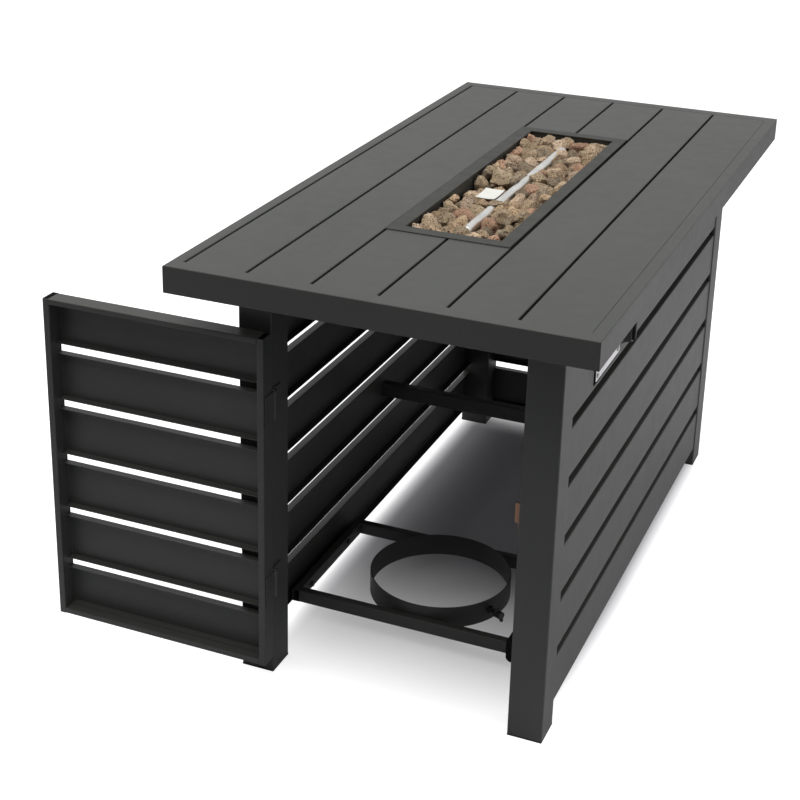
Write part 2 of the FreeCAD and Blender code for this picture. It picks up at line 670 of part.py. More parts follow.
# Valve body behind the board, with the inlet nipple below and the outlet towards the burner
def gas_valve():
    front = KNOB_Y + VALVE_HALF
    bottom = KNOB_Z - VALVE_HALF
    body = box(BOARD_BACK - VALVE_LENGTH, BOARD_BACK, KNOB_Y - VALVE_HALF, front, bottom, KNOB_Z + VALVE_HALF)
    body = body.fuse(cyl(PIPE_X, KNOB_Y, bottom - NIPPLE_LENGTH, NIPPLE_R, NIPPLE_LENGTH))
    body = body.fuse(along_y(PIPE_X, front, front + OUTLET_LENGTH, KNOB_Z, OUTLET_R))
    stem_end = BOARD_BACK - STEM_IN_VALVE
    body = body.cut(along_x(stem_end, BOARD_BACK, KNOB_Y, KNOB_Z, STEM_R + RUNNING_GAP))
    body = body.cut(cyl(PIPE_X, KNOB_Y, bottom - NIPPLE_LENGTH, NIPPLE_BORE, NIPPLE_LENGTH + NIPPLE_R))
    body = body.cut(along_y(PIPE_X, front + OUTLET_STEP, front + OUTLET_LENGTH, KNOB_Z, PIPE_R))
    return body.removeSplitter()


# Valve stem that turns with the knob
def valve_stem():
    stem_end = BOARD_BACK - STEM_IN_VALVE + KNOB_GAP
    return along_x(stem_end, PANEL_FACE_X + KNOB_GAP + KNOB_SOCKET, KNOB_Y, KNOB_Z, STEM_R)


# Tapered knob with a pointer rib across its face, pressed on the stem
def knob():
    back = PANEL_FACE_X + KNOB_GAP
    face = back + KNOB_LENGTH
    reach = KNOB_FACE_R - KNOB_RIB / 2
    centre = FreeCAD.Vector(back, KNOB_Y, KNOB_Z)
    body = Part.makeCone(KNOB_R, KNOB_FACE_R, KNOB_LENGTH, centre, FreeCAD.Vector(1, 0, 0))
    body = body.fuse(box(face - KNOB_RIB, face + KNOB_RIB, KNOB_Y - KNOB_RIB, KNOB_Y + KNOB_RIB,
                         KNOB_Z - reach, KNOB_Z + reach))
    return body.cut(along_x(back, back + KNOB_SOCKET, KNOB_Y, KNOB_Z, STEM_R))


# A quarter turn of the pipe's centre line from one point to another round a centre
def quarter(start, centre, end):
    out = (start - centre) + (end - centre)
    middle = centre + out.normalize() * (start - centre).Length
    return Part.Arc(start, middle, end).toShape()


# Gas pipe from the valve along the right side, up, and across under the pan to the inlet
def feed_pipe():
    v = FreeCAD.Vector
    b = PIPE_BEND
    t = INLET_TURN
    start = v(PIPE_X, KNOB_Y + VALVE_HALF + OUTLET_STEP, KNOB_Z)
    rise = v(PIPE_X, 0, KNOB_Z + b)
    rise_end = v(PIPE_X, 0, PIPE_Z - b)
    cross = v(PIPE_X - b, 0, PIPE_Z)
    cross_end = v(t, 0, PIPE_Z)
    path = Part.Wire([
        Part.makeLine(start, v(PIPE_X, -b, KNOB_Z)),
        quarter(v(PIPE_X, -b, KNOB_Z), v(PIPE_X, -b, KNOB_Z + b), rise),
        Part.makeLine(rise, rise_end),
        quarter(rise_end, v(PIPE_X - b, 0, PIPE_Z - b), cross),
        Part.makeLine(cross, cross_end),
        quarter(cross_end, v(t, 0, PIPE_Z + t), v(0, 0, PIPE_Z + t)),
    ])
    walls = []
    for radius in (PIPE_R, PIPE_BORE):
        section = Part.Wire(Part.Circle(start, v(0, 1, 0), radius).toShape())
        walls.append(path.makePipeShell([section], True, False))
    return walls[0].cut(walls[1])


# Piezo igniter barrel with its round bezel and rear terminal
def igniter_body():
    back = PLATE_FRONT - IGNITER_LENGTH
    front = PLATE_FRONT + BEZEL
    body = along_x(back, PLATE_FRONT, IGNITER_Y, IGNITER_Z, IGNITER_R)
    body = body.fuse(along_x(PLATE_FRONT, front, IGNITER_Y, IGNITER_Z, BEZEL_R))
    body = body.fuse(along_x(back - TERMINAL_LENGTH, back, IGNITER_Y, IGNITER_Z, TERMINAL_R))
    bore_end = front - BUTTON_LENGTH - BUTTON_SPARE
    return body.cut(along_x(bore_end, front, IGNITER_Y, IGNITER_Z, BUTTON_R + RUNNING_GAP))


def igniter_button():
    tip = PLATE_FRONT + BEZEL + BUTTON_TRAVEL
    button = along_x(tip - BUTTON_LENGTH, tip, IGNITER_Y, IGNITER_Z, BUTTON_R)
    crown = [edge for edge in button.Edges if edge.Closed and edge.BoundBox.XMin > tip - BUTTON_ROUND]
    return button.makeFillet(BUTTON_ROUND, crown)


# Stretcher welded between the insides of the side boards
def mid_stretcher():
    foot = board_foot(STRETCHER_BOARD) + STRETCHER_RISE
    return tube_x(-BOARD_BACK, BOARD_BACK, STRETCHER_Y, STRETCHER_Y + STRETCHER_DEPTH,
                  foot, foot + STRETCHER_HEIGHT, TUBE_WALL)


# Cross rails of the tray, one each side of the ring
def tray_rails():
    half = PANEL_FACE_X - BOARD_DEPTH - TRAY_DEPTH
    return [tube_x(-half, half, y, y + TRAY_DEPTH, TRAY_Z, TRAY_Z + TRAY_HEIGHT, TUBE_WALL)
            for y in (FRONT_RAIL_Y, REAR_RAIL_Y)]


# Bars along the feet of the side panels that carry the tray rails
def tray_side_bars():
    outer = PANEL_FACE_X - BOARD_DEPTH
    inner = outer - TRAY_DEPTH
    end = REAR_RAIL_Y + TRAY_DEPTH
    bar = tube_y(inner, outer, FRONT_RAIL_Y, end, TRAY_Z, TRAY_Z + TRAY_HEIGHT, TUBE_WALL)
    return [bar, mirror_x(bar)]


# A cylinder on the clamp screw's axis, from one distance off the ring's centre to another
def on_screw_axis(start, end, r):
    angle = math.radians(RING_SCREW_ANGLE)
    dx = math.cos(angle)
    dy = math.sin(angle)
    return cyl(RING_X + start * dx, RING_Y + start * dy, RING_MIDDLE, r, end - start, (dx, dy, 0))


# Turn and place a shape drawn along Z on the clamp screw's axis
def to_screw_axis(shape, start):
    shape = shape.copy()
    shape.rotate(FreeCAD.Vector(0, 0, 0), FreeCAD.Vector(0, 1, 0), 90)
    shape.translate(FreeCAD.Vector(start, 0, 0))
    shape.rotate(FreeCAD.Vector(0, 0, 0), FreeCAD.Vector(0, 0, 1), RING_SCREW_ANGLE)
    shape.translate(FreeCAD.Vector(RING_X, RING_Y, RING_MIDDLE))
    return shape


# Flat band that takes the tank's foot, drilled for the clamp screw
def tank_ring():
    inner = RING_R - RING_WALL
    band = cyl(RING_X, RING_Y, RING_Z, RING_R, RING_HEIGHT)
    band = band.cut(cyl(RING_X, RING_Y, RING_Z, inner, RING_HEIGHT))
    return band.cut(on_screw_axis(inner - RING_WALL, RING_R + RING_WALL, RING_SCREW_R + HOLE_CLEARANCE))


# Hexagon nut welded to the outside of the ring
def ring_nut():
    nut = to_screw_axis(hexagon(RING_NUT_ACROSS, 0, RING_NUT_HEIGHT + RING_NUT_ROOT), RING_R - RING_NUT_ROOT)
    nut = nut.cut(cyl(RING_X, RING_Y, RING_Z, RING_R, RING_HEIGHT))
    return nut.cut(on_screw_axis(0, RING_R + 2 * RING_NUT_HEIGHT, RING_SCREW_R + RUNNING_GAP))


# Washer under the screw's head, carried along as the screw goes in
def ring_washer():
    washer = on_screw_axis(SCREW_HEAD_START - WASHER, SCREW_HEAD_START, WASHER_R)
    return washer.cut(on_screw_axis(0, SCREW_HEAD_START, RING_SCREW_R + RUNNING_GAP))


# Clamp screw: shank, round head and a cross bar with ball ends for the fingers
def ring_screw():
    start = SCREW_HEAD_START + WASHER_GAP
    half = SCREW_BAR_LENGTH / 2 - SCREW_BALL_R
    bar = along_x(-half, half, 0, SCREW_CAP / 2, SCREW_BAR_R)
    for x in (-half, half):
        bar = bar.fuse(Part.makeSphere(SCREW_BALL_R, FreeCAD.Vector(x, 0, SCREW_CAP / 2)))
    bar.rotate(FreeCAD.Vector(0, 0, 0), FreeCAD.Vector(0, 0, 1), SCREW_BAR_TURN)
    screw = on_screw_axis(RING_R - RING_WALL, start + SCREW_CAP, RING_SCREW_R)
    screw = screw.fuse(on_screw_axis(start, start + SCREW_CAP, SCREW_CAP_R))
    return screw.fuse(to_screw_axis(bar, start))


# Upright tubes at the door's two edges, as they stand with the door open
def door_stiles():
    far = DOOR_EDGE - DOOR_WIDTH
    return [tube_z(x, x + STILE, DOOR_INNER, DOOR_OUTER, PANEL_BOTTOM, PANEL_TOP, TUBE_WALL)
            for x in (far, DOOR_EDGE - STILE)]


# Tubes along the door's foot and top, between the stiles
def door_rails():
    x0 = DOOR_EDGE - DOOR_WIDTH + STILE
    x1 = DOOR_EDGE - STILE
    return [tube_x(x0, x1, DOOR_INNER, DOOR_OUTER, z, z + DOOR_RAIL, TUBE_WALL)
            for z in (PANEL_BOTTOM, PANEL_TOP - DOOR_RAIL)]


# Folded boards of the door, level with those of the panels
def door_boards():
    x0 = DOOR_EDGE - DOOR_WIDTH + STILE
    x1 = DOOR_EDGE - STILE
    back = DOOR_OUTER - BOARD_DEPTH
    boards = []
    for index in range(BOARD_COUNT):
        z0 = max(board_foot(index), PANEL_BOTTOM + DOOR_RAIL)
        z1 = min(board_foot(index) + BOARD_HEIGHT, PANEL_TOP - DOOR_RAIL)
        body = box(x0, x1, back, DOOR_OUTER, z0, z1)
        boards.append(body.cut(box(x0, x1, back, DOOR_OUTER - BOARD_WALL, z0 + BOARD_WALL, z1 - BOARD_WALL)))
    return boards


# The three knuckle spans of one hinge: low, middle and high
def knuckle_spans(z0):
    top = z0 + HINGE_HEIGHT
    third = HINGE_HEIGHT / 3
    g = KNUCKLE_GAP / 2
    return [(z0, z0 + third - g), (z0 + third + g, top - third - g), (top - third + g, top)]


# Leaf on the leg's inner face with the low and high knuckles
def hinge_frame_leaves():
    leaves = []
    x0 = -LEG_INNER_X
    root = HINGE_Y + LEAF_STEP
    for z0 in HINGE_FEET:
        low, middle, high = knuckle_spans(z0)
        leaf = box(x0, x0 + LEAF, root, HINGE_Y + LEAF_DEPTH, z0, z0 + HINGE_HEIGHT)
        for a, b in (low, high):
            leaf = leaf.fuse(box(x0, x0 + LEAF, HINGE_Y, root, a, b))
            leaf = leaf.fuse(cyl(HINGE_X, HINGE_Y, a, KNUCKLE_R, b - a))
        leaf = leaf.cut(cyl(HINGE_X, HINGE_Y, z0, HINGE_PIN_R + PIN_CLEARANCE, HINGE_HEIGHT))
        leaves.append(leaf.removeSplitter())
    return leaves


# Leaf on the door's edge with the middle knuckle
def hinge_door_leaves():
    leaves = []
    root = HINGE_Y - LEAF_STEP
    for z0 in HINGE_FEET:
        low, middle, high = knuckle_spans(z0)
        leaf = box(DOOR_EDGE, DOOR_EDGE + LEAF, HINGE_Y - LEAF_DEPTH, root, z0, z0 + HINGE_HEIGHT)
        leaf = leaf.fuse(box(DOOR_EDGE, DOOR_EDGE + LEAF, root, HINGE_Y, middle[0], middle[1]))
        leaf = leaf.fuse(cyl(HINGE_X, HINGE_Y, middle[0], KNUCKLE_R, middle[1] - middle[0]))
        leaf = leaf.cut(cyl(HINGE_X, HINGE_Y, z0, HINGE_PIN_R + RUNNING_GAP, HINGE_HEIGHT))
        leaves.append(leaf.removeSplitter())
    return leaves


def hinge_pins():
    return [cyl(HINGE_X, HINGE_Y, z0, HINGE_PIN_R, HINGE_HEIGHT) for z0 in HINGE_FEET]


# Brass-coloured angle that the closed door rests against
def door_catch():
    face = DOOR_CLOSED_BACK + CLOSE_GAP
    top = CATCH_Z + CATCH_HEIGHT
    plate = box(LEG_INNER_X - CATCH_WALL, LEG_INNER_X, CATCH_FROM_FRONT - BASE_HALF_Y, face, CATCH_Z, top)
    tab = box(LEG_INNER_X - CATCH_REACH, LEG_INNER_X, face, face + CATCH_WALL, CATCH_Z, top)
    return plate.fuse(tab).removeSplitter()


# Rubber stop low on the same leg, rounded along its free edges
def door_stop():
    face = DOOR_CLOSED_BACK + CLOSE_GAP
    free = LEG_INNER_X - STOP_REACH
    block = box(free, LEG_INNER_X, face, face + STOP_DEPTH, STOP_Z, STOP_Z + STOP_HEIGHT)
    free_edges = [edge for edge in block.Edges if edge.BoundBox.XMax < LEG_INNER_X - STOP_ROUND]
    return block.makeFillet(STOP_ROUND, [edge for edge in free_edges if edge.BoundBox.YLength > STOP_ROUND])


os.makedirs("parts", exist_ok=True)

right_rail = side_rail()
far_rail = end_rail()
save("top_side_rail_right", right_rail)
save("top_side_rail_left", mirror_x(right_rail))
save("top_end_rail_rear", far_rail)
save("top_end_rail_front", mirror_y(far_rail))

deck_front = PLANK_GAP_FRONT - DECK_HALF_Y
deck_rear = DECK_HALF_Y - PLANK_GAP_REAR
for number in (1, 2, 5, 6):
    save("plank_%d" % number, plank(number, deck_front, deck_rear))
for number in (3, 4):
    save("plank_%d_front" % number, plank(number, deck_front, -OPENING_HALF_Y))
    save("plank_%d_rear" % number, plank(number, OPENING_HALF_Y, deck_rear))

save("bearers_end", bearers_end())
save("bearers_inner", bearers_inner())
save("bearers_mid", bearers_mid())

stones = lava_rocks()
save("burner_rim", burner_rim())
save("burner_pan", burner_pan())
save("pan_ledges", pan_ledges())
save("burner_tube", burner_tube())
save("burner_brackets", burner_brackets())
save("burner_inlet", burner_inlet())
save("igniter_electrode", igniter_electrode())
save("lava_rocks", stones)
save("paper_tag", paper_tag(stones))

rear_right = leg()
save("leg_rear_right", rear_right)
save("leg_rear_left", mirror_x(rear_right))
save("leg_front_right", mirror_y(rear_right))
save("leg_front_left", mirror_x(mirror_y(rear_right)))
save("foot_glides", foot_glides())
save("aprons_side", aprons_side())
save("apron_rear", apron_rear())
save("apron_front", apron_front())

save("left_panel_boards", [mirror_x(side_board(i)) for i in range(BOARD_COUNT)])
save("right_panel_boards", [side_board(i) for i in range(BOARD_COUNT - 1)])
save("control_board", control_board())
save("rear_panel_boards", [rear_board(i) for i in range(BOARD_COUNT)])
save("mid_stretcher", mid_stretcher())

save("control_gasket", control_gasket())
save("control_plate", control_plate())
save("control_screws", control_screws())
save("gas_valve", gas_valve())
save("feed_pipe", feed_pipe())
save("igniter_body", igniter_body())
save("igniter_button", igniter_button())
save("valve_stem", valve_stem())
save("knob", knob())

save("tray_rails", tray_rails())
save("tray_side_bars", tray_side_bars())
save("tank_ring", tank_ring())
save("ring_nut", ring_nut())
save("ring_washer", ring_washer())
save("ring_screw", ring_screw())

save("hinge_frame_leaves", hinge_frame_leaves())
save("hinge_door_leaves", hinge_door_leaves())
save("hinge_pins", hinge_pins())
save("door_stiles", door_stiles())
save("door_rails", door_rails())
save("door_boards", door_boards())
save("door_catch", door_catch())
save("door_stop", door_stop())
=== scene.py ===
import bpy
import bmesh
import math
import random
from mathutils import Matrix, Vector, noise


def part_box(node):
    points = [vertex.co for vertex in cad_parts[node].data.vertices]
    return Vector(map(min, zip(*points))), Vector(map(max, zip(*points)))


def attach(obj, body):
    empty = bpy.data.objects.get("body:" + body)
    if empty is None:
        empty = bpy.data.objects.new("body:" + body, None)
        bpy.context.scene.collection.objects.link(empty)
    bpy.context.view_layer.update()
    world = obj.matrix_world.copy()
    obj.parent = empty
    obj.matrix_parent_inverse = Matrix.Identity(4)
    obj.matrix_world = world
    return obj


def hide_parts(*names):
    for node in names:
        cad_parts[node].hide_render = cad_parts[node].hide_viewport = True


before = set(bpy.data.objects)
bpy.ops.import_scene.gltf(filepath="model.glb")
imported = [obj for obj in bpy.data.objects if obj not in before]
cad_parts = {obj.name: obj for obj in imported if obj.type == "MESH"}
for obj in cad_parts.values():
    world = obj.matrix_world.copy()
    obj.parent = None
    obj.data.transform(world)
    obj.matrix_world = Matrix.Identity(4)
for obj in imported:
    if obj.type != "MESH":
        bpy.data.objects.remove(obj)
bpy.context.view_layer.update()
scene = bpy.context.scene

# Camera. It stands in front of the door end and to its right, about as far above the tabletop as
# the table is high, with a slight roll. The small shift frames the tall view without a wider lens.
CAMERA_PLACE = (0.7195, -2.2436, 1.3513)
CAMERA_TURN = math.radians(22.07)
CAMERA_TILT = math.radians(20.6)
CAMERA_ROLL = math.radians(1.454)
CAMERA_LENS = 72.3
CAMERA_SENSOR = 36.0
CAMERA_SHIFT = -0.15

camera_data = bpy.data.cameras.new("camera")
camera_data.lens = CAMERA_LENS
camera_data.sensor_width = CAMERA_SENSOR
camera_data.shift_y = CAMERA_SHIFT
camera = bpy.data.objects.new("camera", camera_data)
scene.collection.objects.link(camera)
aim = Matrix.Rotation(CAMERA_TURN, 4, "Z") @ Matrix.Rotation(math.pi / 2 - CAMERA_TILT, 4, "X")
camera.matrix_world = Matrix.Translation(CAMERA_PLACE) @ aim @ Matrix.Rotation(CAMERA_ROLL, 4, "Z")
scene.camera = camera
scene.view_settings.view_transform = "Standard"

# Floor. A white sweep. For the camera a painted glow is added to its lit colour: none in a box round the
# middle under the table, rising outside it, so that it runs out to pure white. The shadow under the table is
# real shade, but where it ends and how it fades is painted by that glow.
# The light that it throws back up is that of a small white sheet under the table in a darker room.
FLOOR_HALF = 9.0
FLOOR_COLOUR = (0.59, 0.575, 0.64)
MIRRORED_COLOUR = (0.87, 0.84, 0.93)
# The box of painted shade, where no glow is painted, and how far outside it the painted glow takes to reach
# its most.
PAINTED_SHADE_LOW = (-0.187, -0.02)
PAINTED_SHADE_HIGH = (0.19, 0.40)
FADE_LOW = (0.042, 0.46)
FADE_HIGH = (0.045, 0.12)
PAINTED_GLOW_MOST = 0.90
SHEET_COLOUR = (0.92, 0.91, 0.99)
SHEET_HALF = (1.15, 0.98)
SHEET_FORWARD = 0.05
SHEET_FADE = 0.70
DARK_ROOM = (0.03, 0.03, 0.033)


def feed(tree, socket, value):
    if isinstance(value, bpy.types.NodeSocket):
        tree.links.new(value, socket)
    elif socket.type == "RGBA":
        socket.default_value = (*value, 1)
    else:
        socket.default_value = value


def vector_math(tree, operation, *values):
    made = tree.nodes.new("ShaderNodeVectorMath")
    made.operation = operation
    for socket, value in zip(made.inputs, values):
        feed(tree, socket, value)
    return made.outputs["Value" if operation in ("LENGTH", "DOT_PRODUCT") else "Vector"]


def ranged(tree, value, low, high, from_low=0.3, from_high=0.7):
    made = tree.nodes.new("ShaderNodeMapRange")
    made.inputs["From Min"].default_value = from_low
    made.inputs["From Max"].default_value = from_high
    made.inputs["To Min"].default_value = low
    made.inputs["To Max"].default_value = high
    tree.links.new(value, made.inputs["Value"])
    return made.outputs["Result"]


def two_tone(tree, share, first, second, blend="MIX"):
    made = tree.nodes.new("ShaderNodeMix")
    made.data_type = "RGBA"
    made.blend_type = blend
    feed(tree, made.inputs[0], share)
    feed(tree, made.inputs[6], first)
    feed(tree, made.inputs[7], second)
    return made.outputs[2]


floor_paper = bpy.data.materials.new("floor_paper")
floor_paper.use_nodes = True
tree = floor_paper.node_tree
tree.nodes.clear()
path = tree.nodes.new("ShaderNodeLightPath")
spot = tree.nodes.new("ShaderNodeTexCoord").outputs["Object"]

on_sheet = vector_math(tree, "MULTIPLY_ADD", spot, (1 / SHEET_HALF[0], 1 / SHEET_HALF[1], 0),
                       (0, SHEET_FORWARD / SHEET_HALF[1], 0))
off_sheet = ranged(tree, vector_math(tree, "LENGTH", on_sheet), 0, 1, SHEET_FADE, 1)
white_or_dark = two_tone(tree, off_sheet, SHEET_COLOUR, DARK_ROOM)
thrown_back = tree.nodes.new("ShaderNodeBsdfDiffuse")
feed(tree, thrown_back.inputs["Color"],
     two_tone(tree, path.outputs["Is Glossy Ray"], white_or_dark, MIRRORED_COLOUR))

past_high = vector_math(tree, "MULTIPLY_ADD", spot, (1 / FADE_HIGH[0], 1 / FADE_HIGH[1], 0),
                        (-PAINTED_SHADE_HIGH[0] / FADE_HIGH[0], -PAINTED_SHADE_HIGH[1] / FADE_HIGH[1], 0))
past_low = vector_math(tree, "MULTIPLY_ADD", spot, (-1 / FADE_LOW[0], -1 / FADE_LOW[1], 0),
                       (PAINTED_SHADE_LOW[0] / FADE_LOW[0], PAINTED_SHADE_LOW[1] / FADE_LOW[1], 0))
outside = vector_math(tree, "MAXIMUM", vector_math(tree, "MAXIMUM", past_high, past_low), (0, 0, 0))
squared = vector_math(tree, "DOT_PRODUCT", outside, outside)
bright = tree.nodes.new("ShaderNodeBsdfDiffuse")
feed(tree, bright.inputs["Color"], FLOOR_COLOUR)
# Painted light: a glow that only the camera sees, none inside the painted shade box and growing with the
# square of the distance past it.
painted_glow = tree.nodes.new("ShaderNodeEmission")
feed(tree, painted_glow.inputs["Strength"], ranged(tree, squared, 0, PAINTED_GLOW_MOST, 0, 1))

lit_plus_painted_glow = tree.nodes.new("ShaderNodeAddShader")
choose = tree.nodes.new("ShaderNodeMixShader")
output = tree.nodes.new("ShaderNodeOutputMaterial")
tree.links.new(bright.outputs["BSDF"], lit_plus_painted_glow.inputs[0])
tree.links.new(painted_glow.outputs["Emission"], lit_plus_painted_glow.inputs[1])
tree.links.new(path.outputs["Is Camera Ray"], choose.inputs["Fac"])
tree.links.new(thrown_back.outputs["BSDF"], choose.inputs[1])
tree.links.new(lit_plus_painted_glow.outputs["Shader"], choose.inputs[2])
tree.links.new(choose.outputs["Shader"], output.inputs["Surface"])

bm = bmesh.new()
bmesh.ops.create_grid(bm, x_segments=1, y_segments=1, size=FLOOR_HALF)
floor_mesh = bpy.data.meshes.new("floor")
bm.to_mesh(floor_mesh)
bm.free()
floor_mesh.materials.append(floor_paper)
floor = bpy.data.objects.new("floor", floor_mesh)
scene.collection.objects.link(floor)

# World. Plain pale surroundings: white behind the object, and in their light and the reflections
# brighter above, behind and to the right than on the camera's side, as in a room with a white sweep.
BRIGHT_SIDE = (0.35, 0.75, 0.55)
LEAST_FACING = -0.7
MOST_FACING = 0.35
REFLECTED_LEAST = 0.13
REFLECTED_MOST = 0.8
LIGHT_SHARE = 0.50


def number_math(tree, operation, first, second):
    made = tree.nodes.new("ShaderNodeMath")
    made.operation = operation
    feed(tree, made.inputs[0], first)
    feed(tree, made.inputs[1], second)
    return made.outputs["Value"]


def either(tree, share, first, second):
    made = tree.nodes.new("ShaderNodeMix")
    made.data_type = "FLOAT"
    feed(tree, made.inputs[0], share)
    feed(tree, made.inputs[2], first)
    feed(tree, made.inputs[3], second)
    return made.outputs[0]


world = bpy.data.worlds.new("studio")
scene.world = world
world.use_nodes = True
tree = world.node_tree
tree.nodes.clear()
path = tree.nodes.new("ShaderNodeLightPath")
way = tree.nodes.new("ShaderNodeTexCoord").outputs["Generated"]
facing = vector_math(tree, "DOT_PRODUCT", way, BRIGHT_SIDE)
reflected = ranged(tree, facing, REFLECTED_LEAST, REFLECTED_MOST, LEAST_FACING, MOST_FACING)
lighting = number_math(tree, "MULTIPLY", reflected, LIGHT_SHARE)
unseen = either(tree, path.outputs["Is Glossy Ray"], lighting, reflected)
straight = number_math(tree, "MAXIMUM", path.outputs["Is Camera Ray"], path.outputs["Is Transmission Ray"])
background = tree.nodes.new("ShaderNodeBackground")
feed(tree, background.inputs["Color"], (1, 1, 1))
feed(tree, background.inputs["Strength"], either(tree, straight, unseen, 1.0))
output = tree.nodes.new("ShaderNodeOutputWorld")
tree.links.new(background.outputs["Background"], output.inputs["Surface"])

# Lamps. Two wide soft panels overhead, one of them towards the door, and one at each side, farther
# off and stronger, all large, so that no shadow has a hard edge. The right one lights the boards
# beside the controls, and is kept out of the reflections, or the bright plate would burn out.
LAMP_COLOUR = (1.0, 1.0, 0.92)

for name, place, aim_at, size, power, mirrored in (
    ("overhead_panel", (0.15, -0.1, 3.1), (0.0, 0.0, 0.3), 2.2, 31.0, True),
    ("door_panel", (-0.4, -1.5, 2.9), (-0.3, -0.5, 0.2), 1.6, 25.0, True),
    ("left_panel", (-3.2, -0.2, 1.3), (0.0, 0.0, 0.3), 1.8, 38.0, True),
    ("right_panel", (3.2, 0.9, 0.9), (0.0, 0.0, 0.3), 1.8, 46.0, False),
):
    lamp = bpy.data.lights.new(name, "AREA")
    lamp.size = size
    lamp.energy = power
    lamp.color = LAMP_COLOUR
    holder = bpy.data.objects.new(name, lamp)
    holder.location = place
    holder.rotation_euler = (Vector(aim_at) - Vector(place)).to_track_quat("-Z", "Y").to_euler()
    holder.visible_glossy = mirrored
    scene.collection.objects.link(holder)

# Legs. Four square steel tubes with rounded edges, welded to the deck's bars and powder coated
# anthracite with the finely textured finish that the whole table has.
LEG_WALL = 0.0015
LEG_BEND = 0.0028
CREASE = math.radians(40)
COAT_COLOUR = (0.0515, 0.0545, 0.0520)
COAT_ROUGHNESS = (0.40, 0.45)
COAT_SPECULAR = 0.3
COAT_CLOUDS = 5.0
COAT_PATCHES = 38.0
COAT_GRAIN = 1400.0
COAT_GRAIN_DEPTH = 0.0004


def new_surface(name):
    made = bpy.data.materials.new(name)
    made.use_nodes = True
    tree = made.node_tree
    surface = tree.nodes["Principled BSDF"]
    coords = tree.nodes.new("ShaderNodeTexCoord").outputs["Object"]
    return made, tree, surface, coords


def noise_node(tree, coords, scale, detail=3.0, rough=0.55):
    made = tree.nodes.new("ShaderNodeTexNoise")
    made.inputs["Scale"].default_value = scale
    made.inputs["Detail"].default_value = detail
    made.inputs["Roughness"].default_value = rough
    tree.links.new(coords, made.inputs["Vector"])
    return made.outputs["Fac"]


def bumped(tree, surface, height, strength, depth):
    made = tree.nodes.new("ShaderNodeBump")
    made.inputs["Strength"].default_value = strength
    made.inputs["Distance"].default_value = depth
    tree.links.new(height, made.inputs["Height"])
    tree.links.new(made.outputs["Normal"], surface.inputs["Normal"])


def clouded(tree, surface, cloud, colour, darkest, palest):
    tones = [tuple(channel * share for channel in colour) for share in (darkest, palest)]
    feed(tree, surface.inputs["Base Color"], two_tone(tree, ranged(tree, cloud, 0, 1), *tones))


def powder_coat(name, colour, roughness):
    made, tree, surface, coords = new_surface(name)
    clouded(tree, surface, noise_node(tree, coords, COAT_CLOUDS, 4.0), colour, 0.93, 1.07)
    patches = noise_node(tree, coords, COAT_PATCHES, 5.0, 0.6)
    feed(tree, surface.inputs["Roughness"], ranged(tree, patches, *roughness))
    surface.inputs["Specular IOR Level"].default_value = COAT_SPECULAR
    bumped(tree, surface, noise_node(tree, coords, COAT_GRAIN, 2.0), 0.22, COAT_GRAIN_DEPTH)
    return made


def block(lo, hi):
    bm = bmesh.new()
    bmesh.ops.create_cube(bm, size=1.0)
    bmesh.ops.scale(bm, vec=hi - lo, verts=bm.verts)
    bmesh.ops.translate(bm, vec=(hi + lo) / 2, verts=bm.verts)
    bm.normal_update()
    return bm


def rounded(bm, edges, radius, segments=4, clamped=False):
    bmesh.ops.bevel(bm, geom=edges, offset=radius, affect="EDGES", segments=segments, profile=0.5,
                    clamp_overlap=clamped, material=-1)


def add_part(bm, part):
    mesh = bpy.data.meshes.new("part")
    part.to_mesh(mesh)
    part.free()
    bm.from_mesh(mesh)
    bpy.data.meshes.remove(mesh)


def square_tube(bm, lo, hi, axis, wall, bend):
    part = block(lo, hi)
    ends = [face for face in part.faces if abs(face.normal[axis]) > 0.9]
    bmesh.ops.delete(part, geom=ends, context="FACES_ONLY")
    rounded(part, [edge for edge in part.edges if len(edge.link_faces) == 2], bend)
    bmesh.ops.solidify(part, geom=part.faces[:], thickness=wall)
    add_part(bm, part)


def made_piece(bm, name, body, material, slot, *nodes):
    mesh = bpy.data.meshes.new(name)
    bm.to_mesh(mesh)
    bm.free()
    mesh.materials.append(material)
    mesh.shade_smooth()
    mesh.set_sharp_from_angle(angle=CREASE)
    piece = bpy.data.objects.new(name, mesh)
    scene.collection.objects.link(piece)
    piece.modifiers.new("flat_faces_stay_flat", "WEIGHTED_NORMAL").keep_sharp = True
    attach(piece, body)
    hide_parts(*nodes)
    return piece


anthracite = powder_coat("anthracite_powder_coat", COAT_COLOUR, COAT_ROUGHNESS)


def coated_piece(bm, name, body, *nodes):
    return made_piece(bm, name, body, anthracite, "anthracite_paint", *nodes)


CORNERS = ("front_right", "front_left", "rear_right", "rear_left")
for corner in CORNERS:
    bm = bmesh.new()
    square_tube(bm, *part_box("leg_" + corner), 2, LEG_WALL, LEG_BEND)
    coated_piece(bm, corner + "_leg_tube", "frame", "leg_" + corner)

# Foot pads. Black moulded plastic, a flat pad the size of the tube with a plug pushed up into it,
# and a soft edge where it meets the floor.
PAD_EDGE = 0.0010
PLUG_INSET = 0.0017
BLACK_PLASTIC = (0.016, 0.016, 0.017)
MOULD_CLOUDS = 60.0
MOULD_PATCHES = 240.0
MOULD_SPREAD = 0.06
MOULD_GRAIN = 2600.0
MOULD_GRAIN_DEPTH = 0.0002


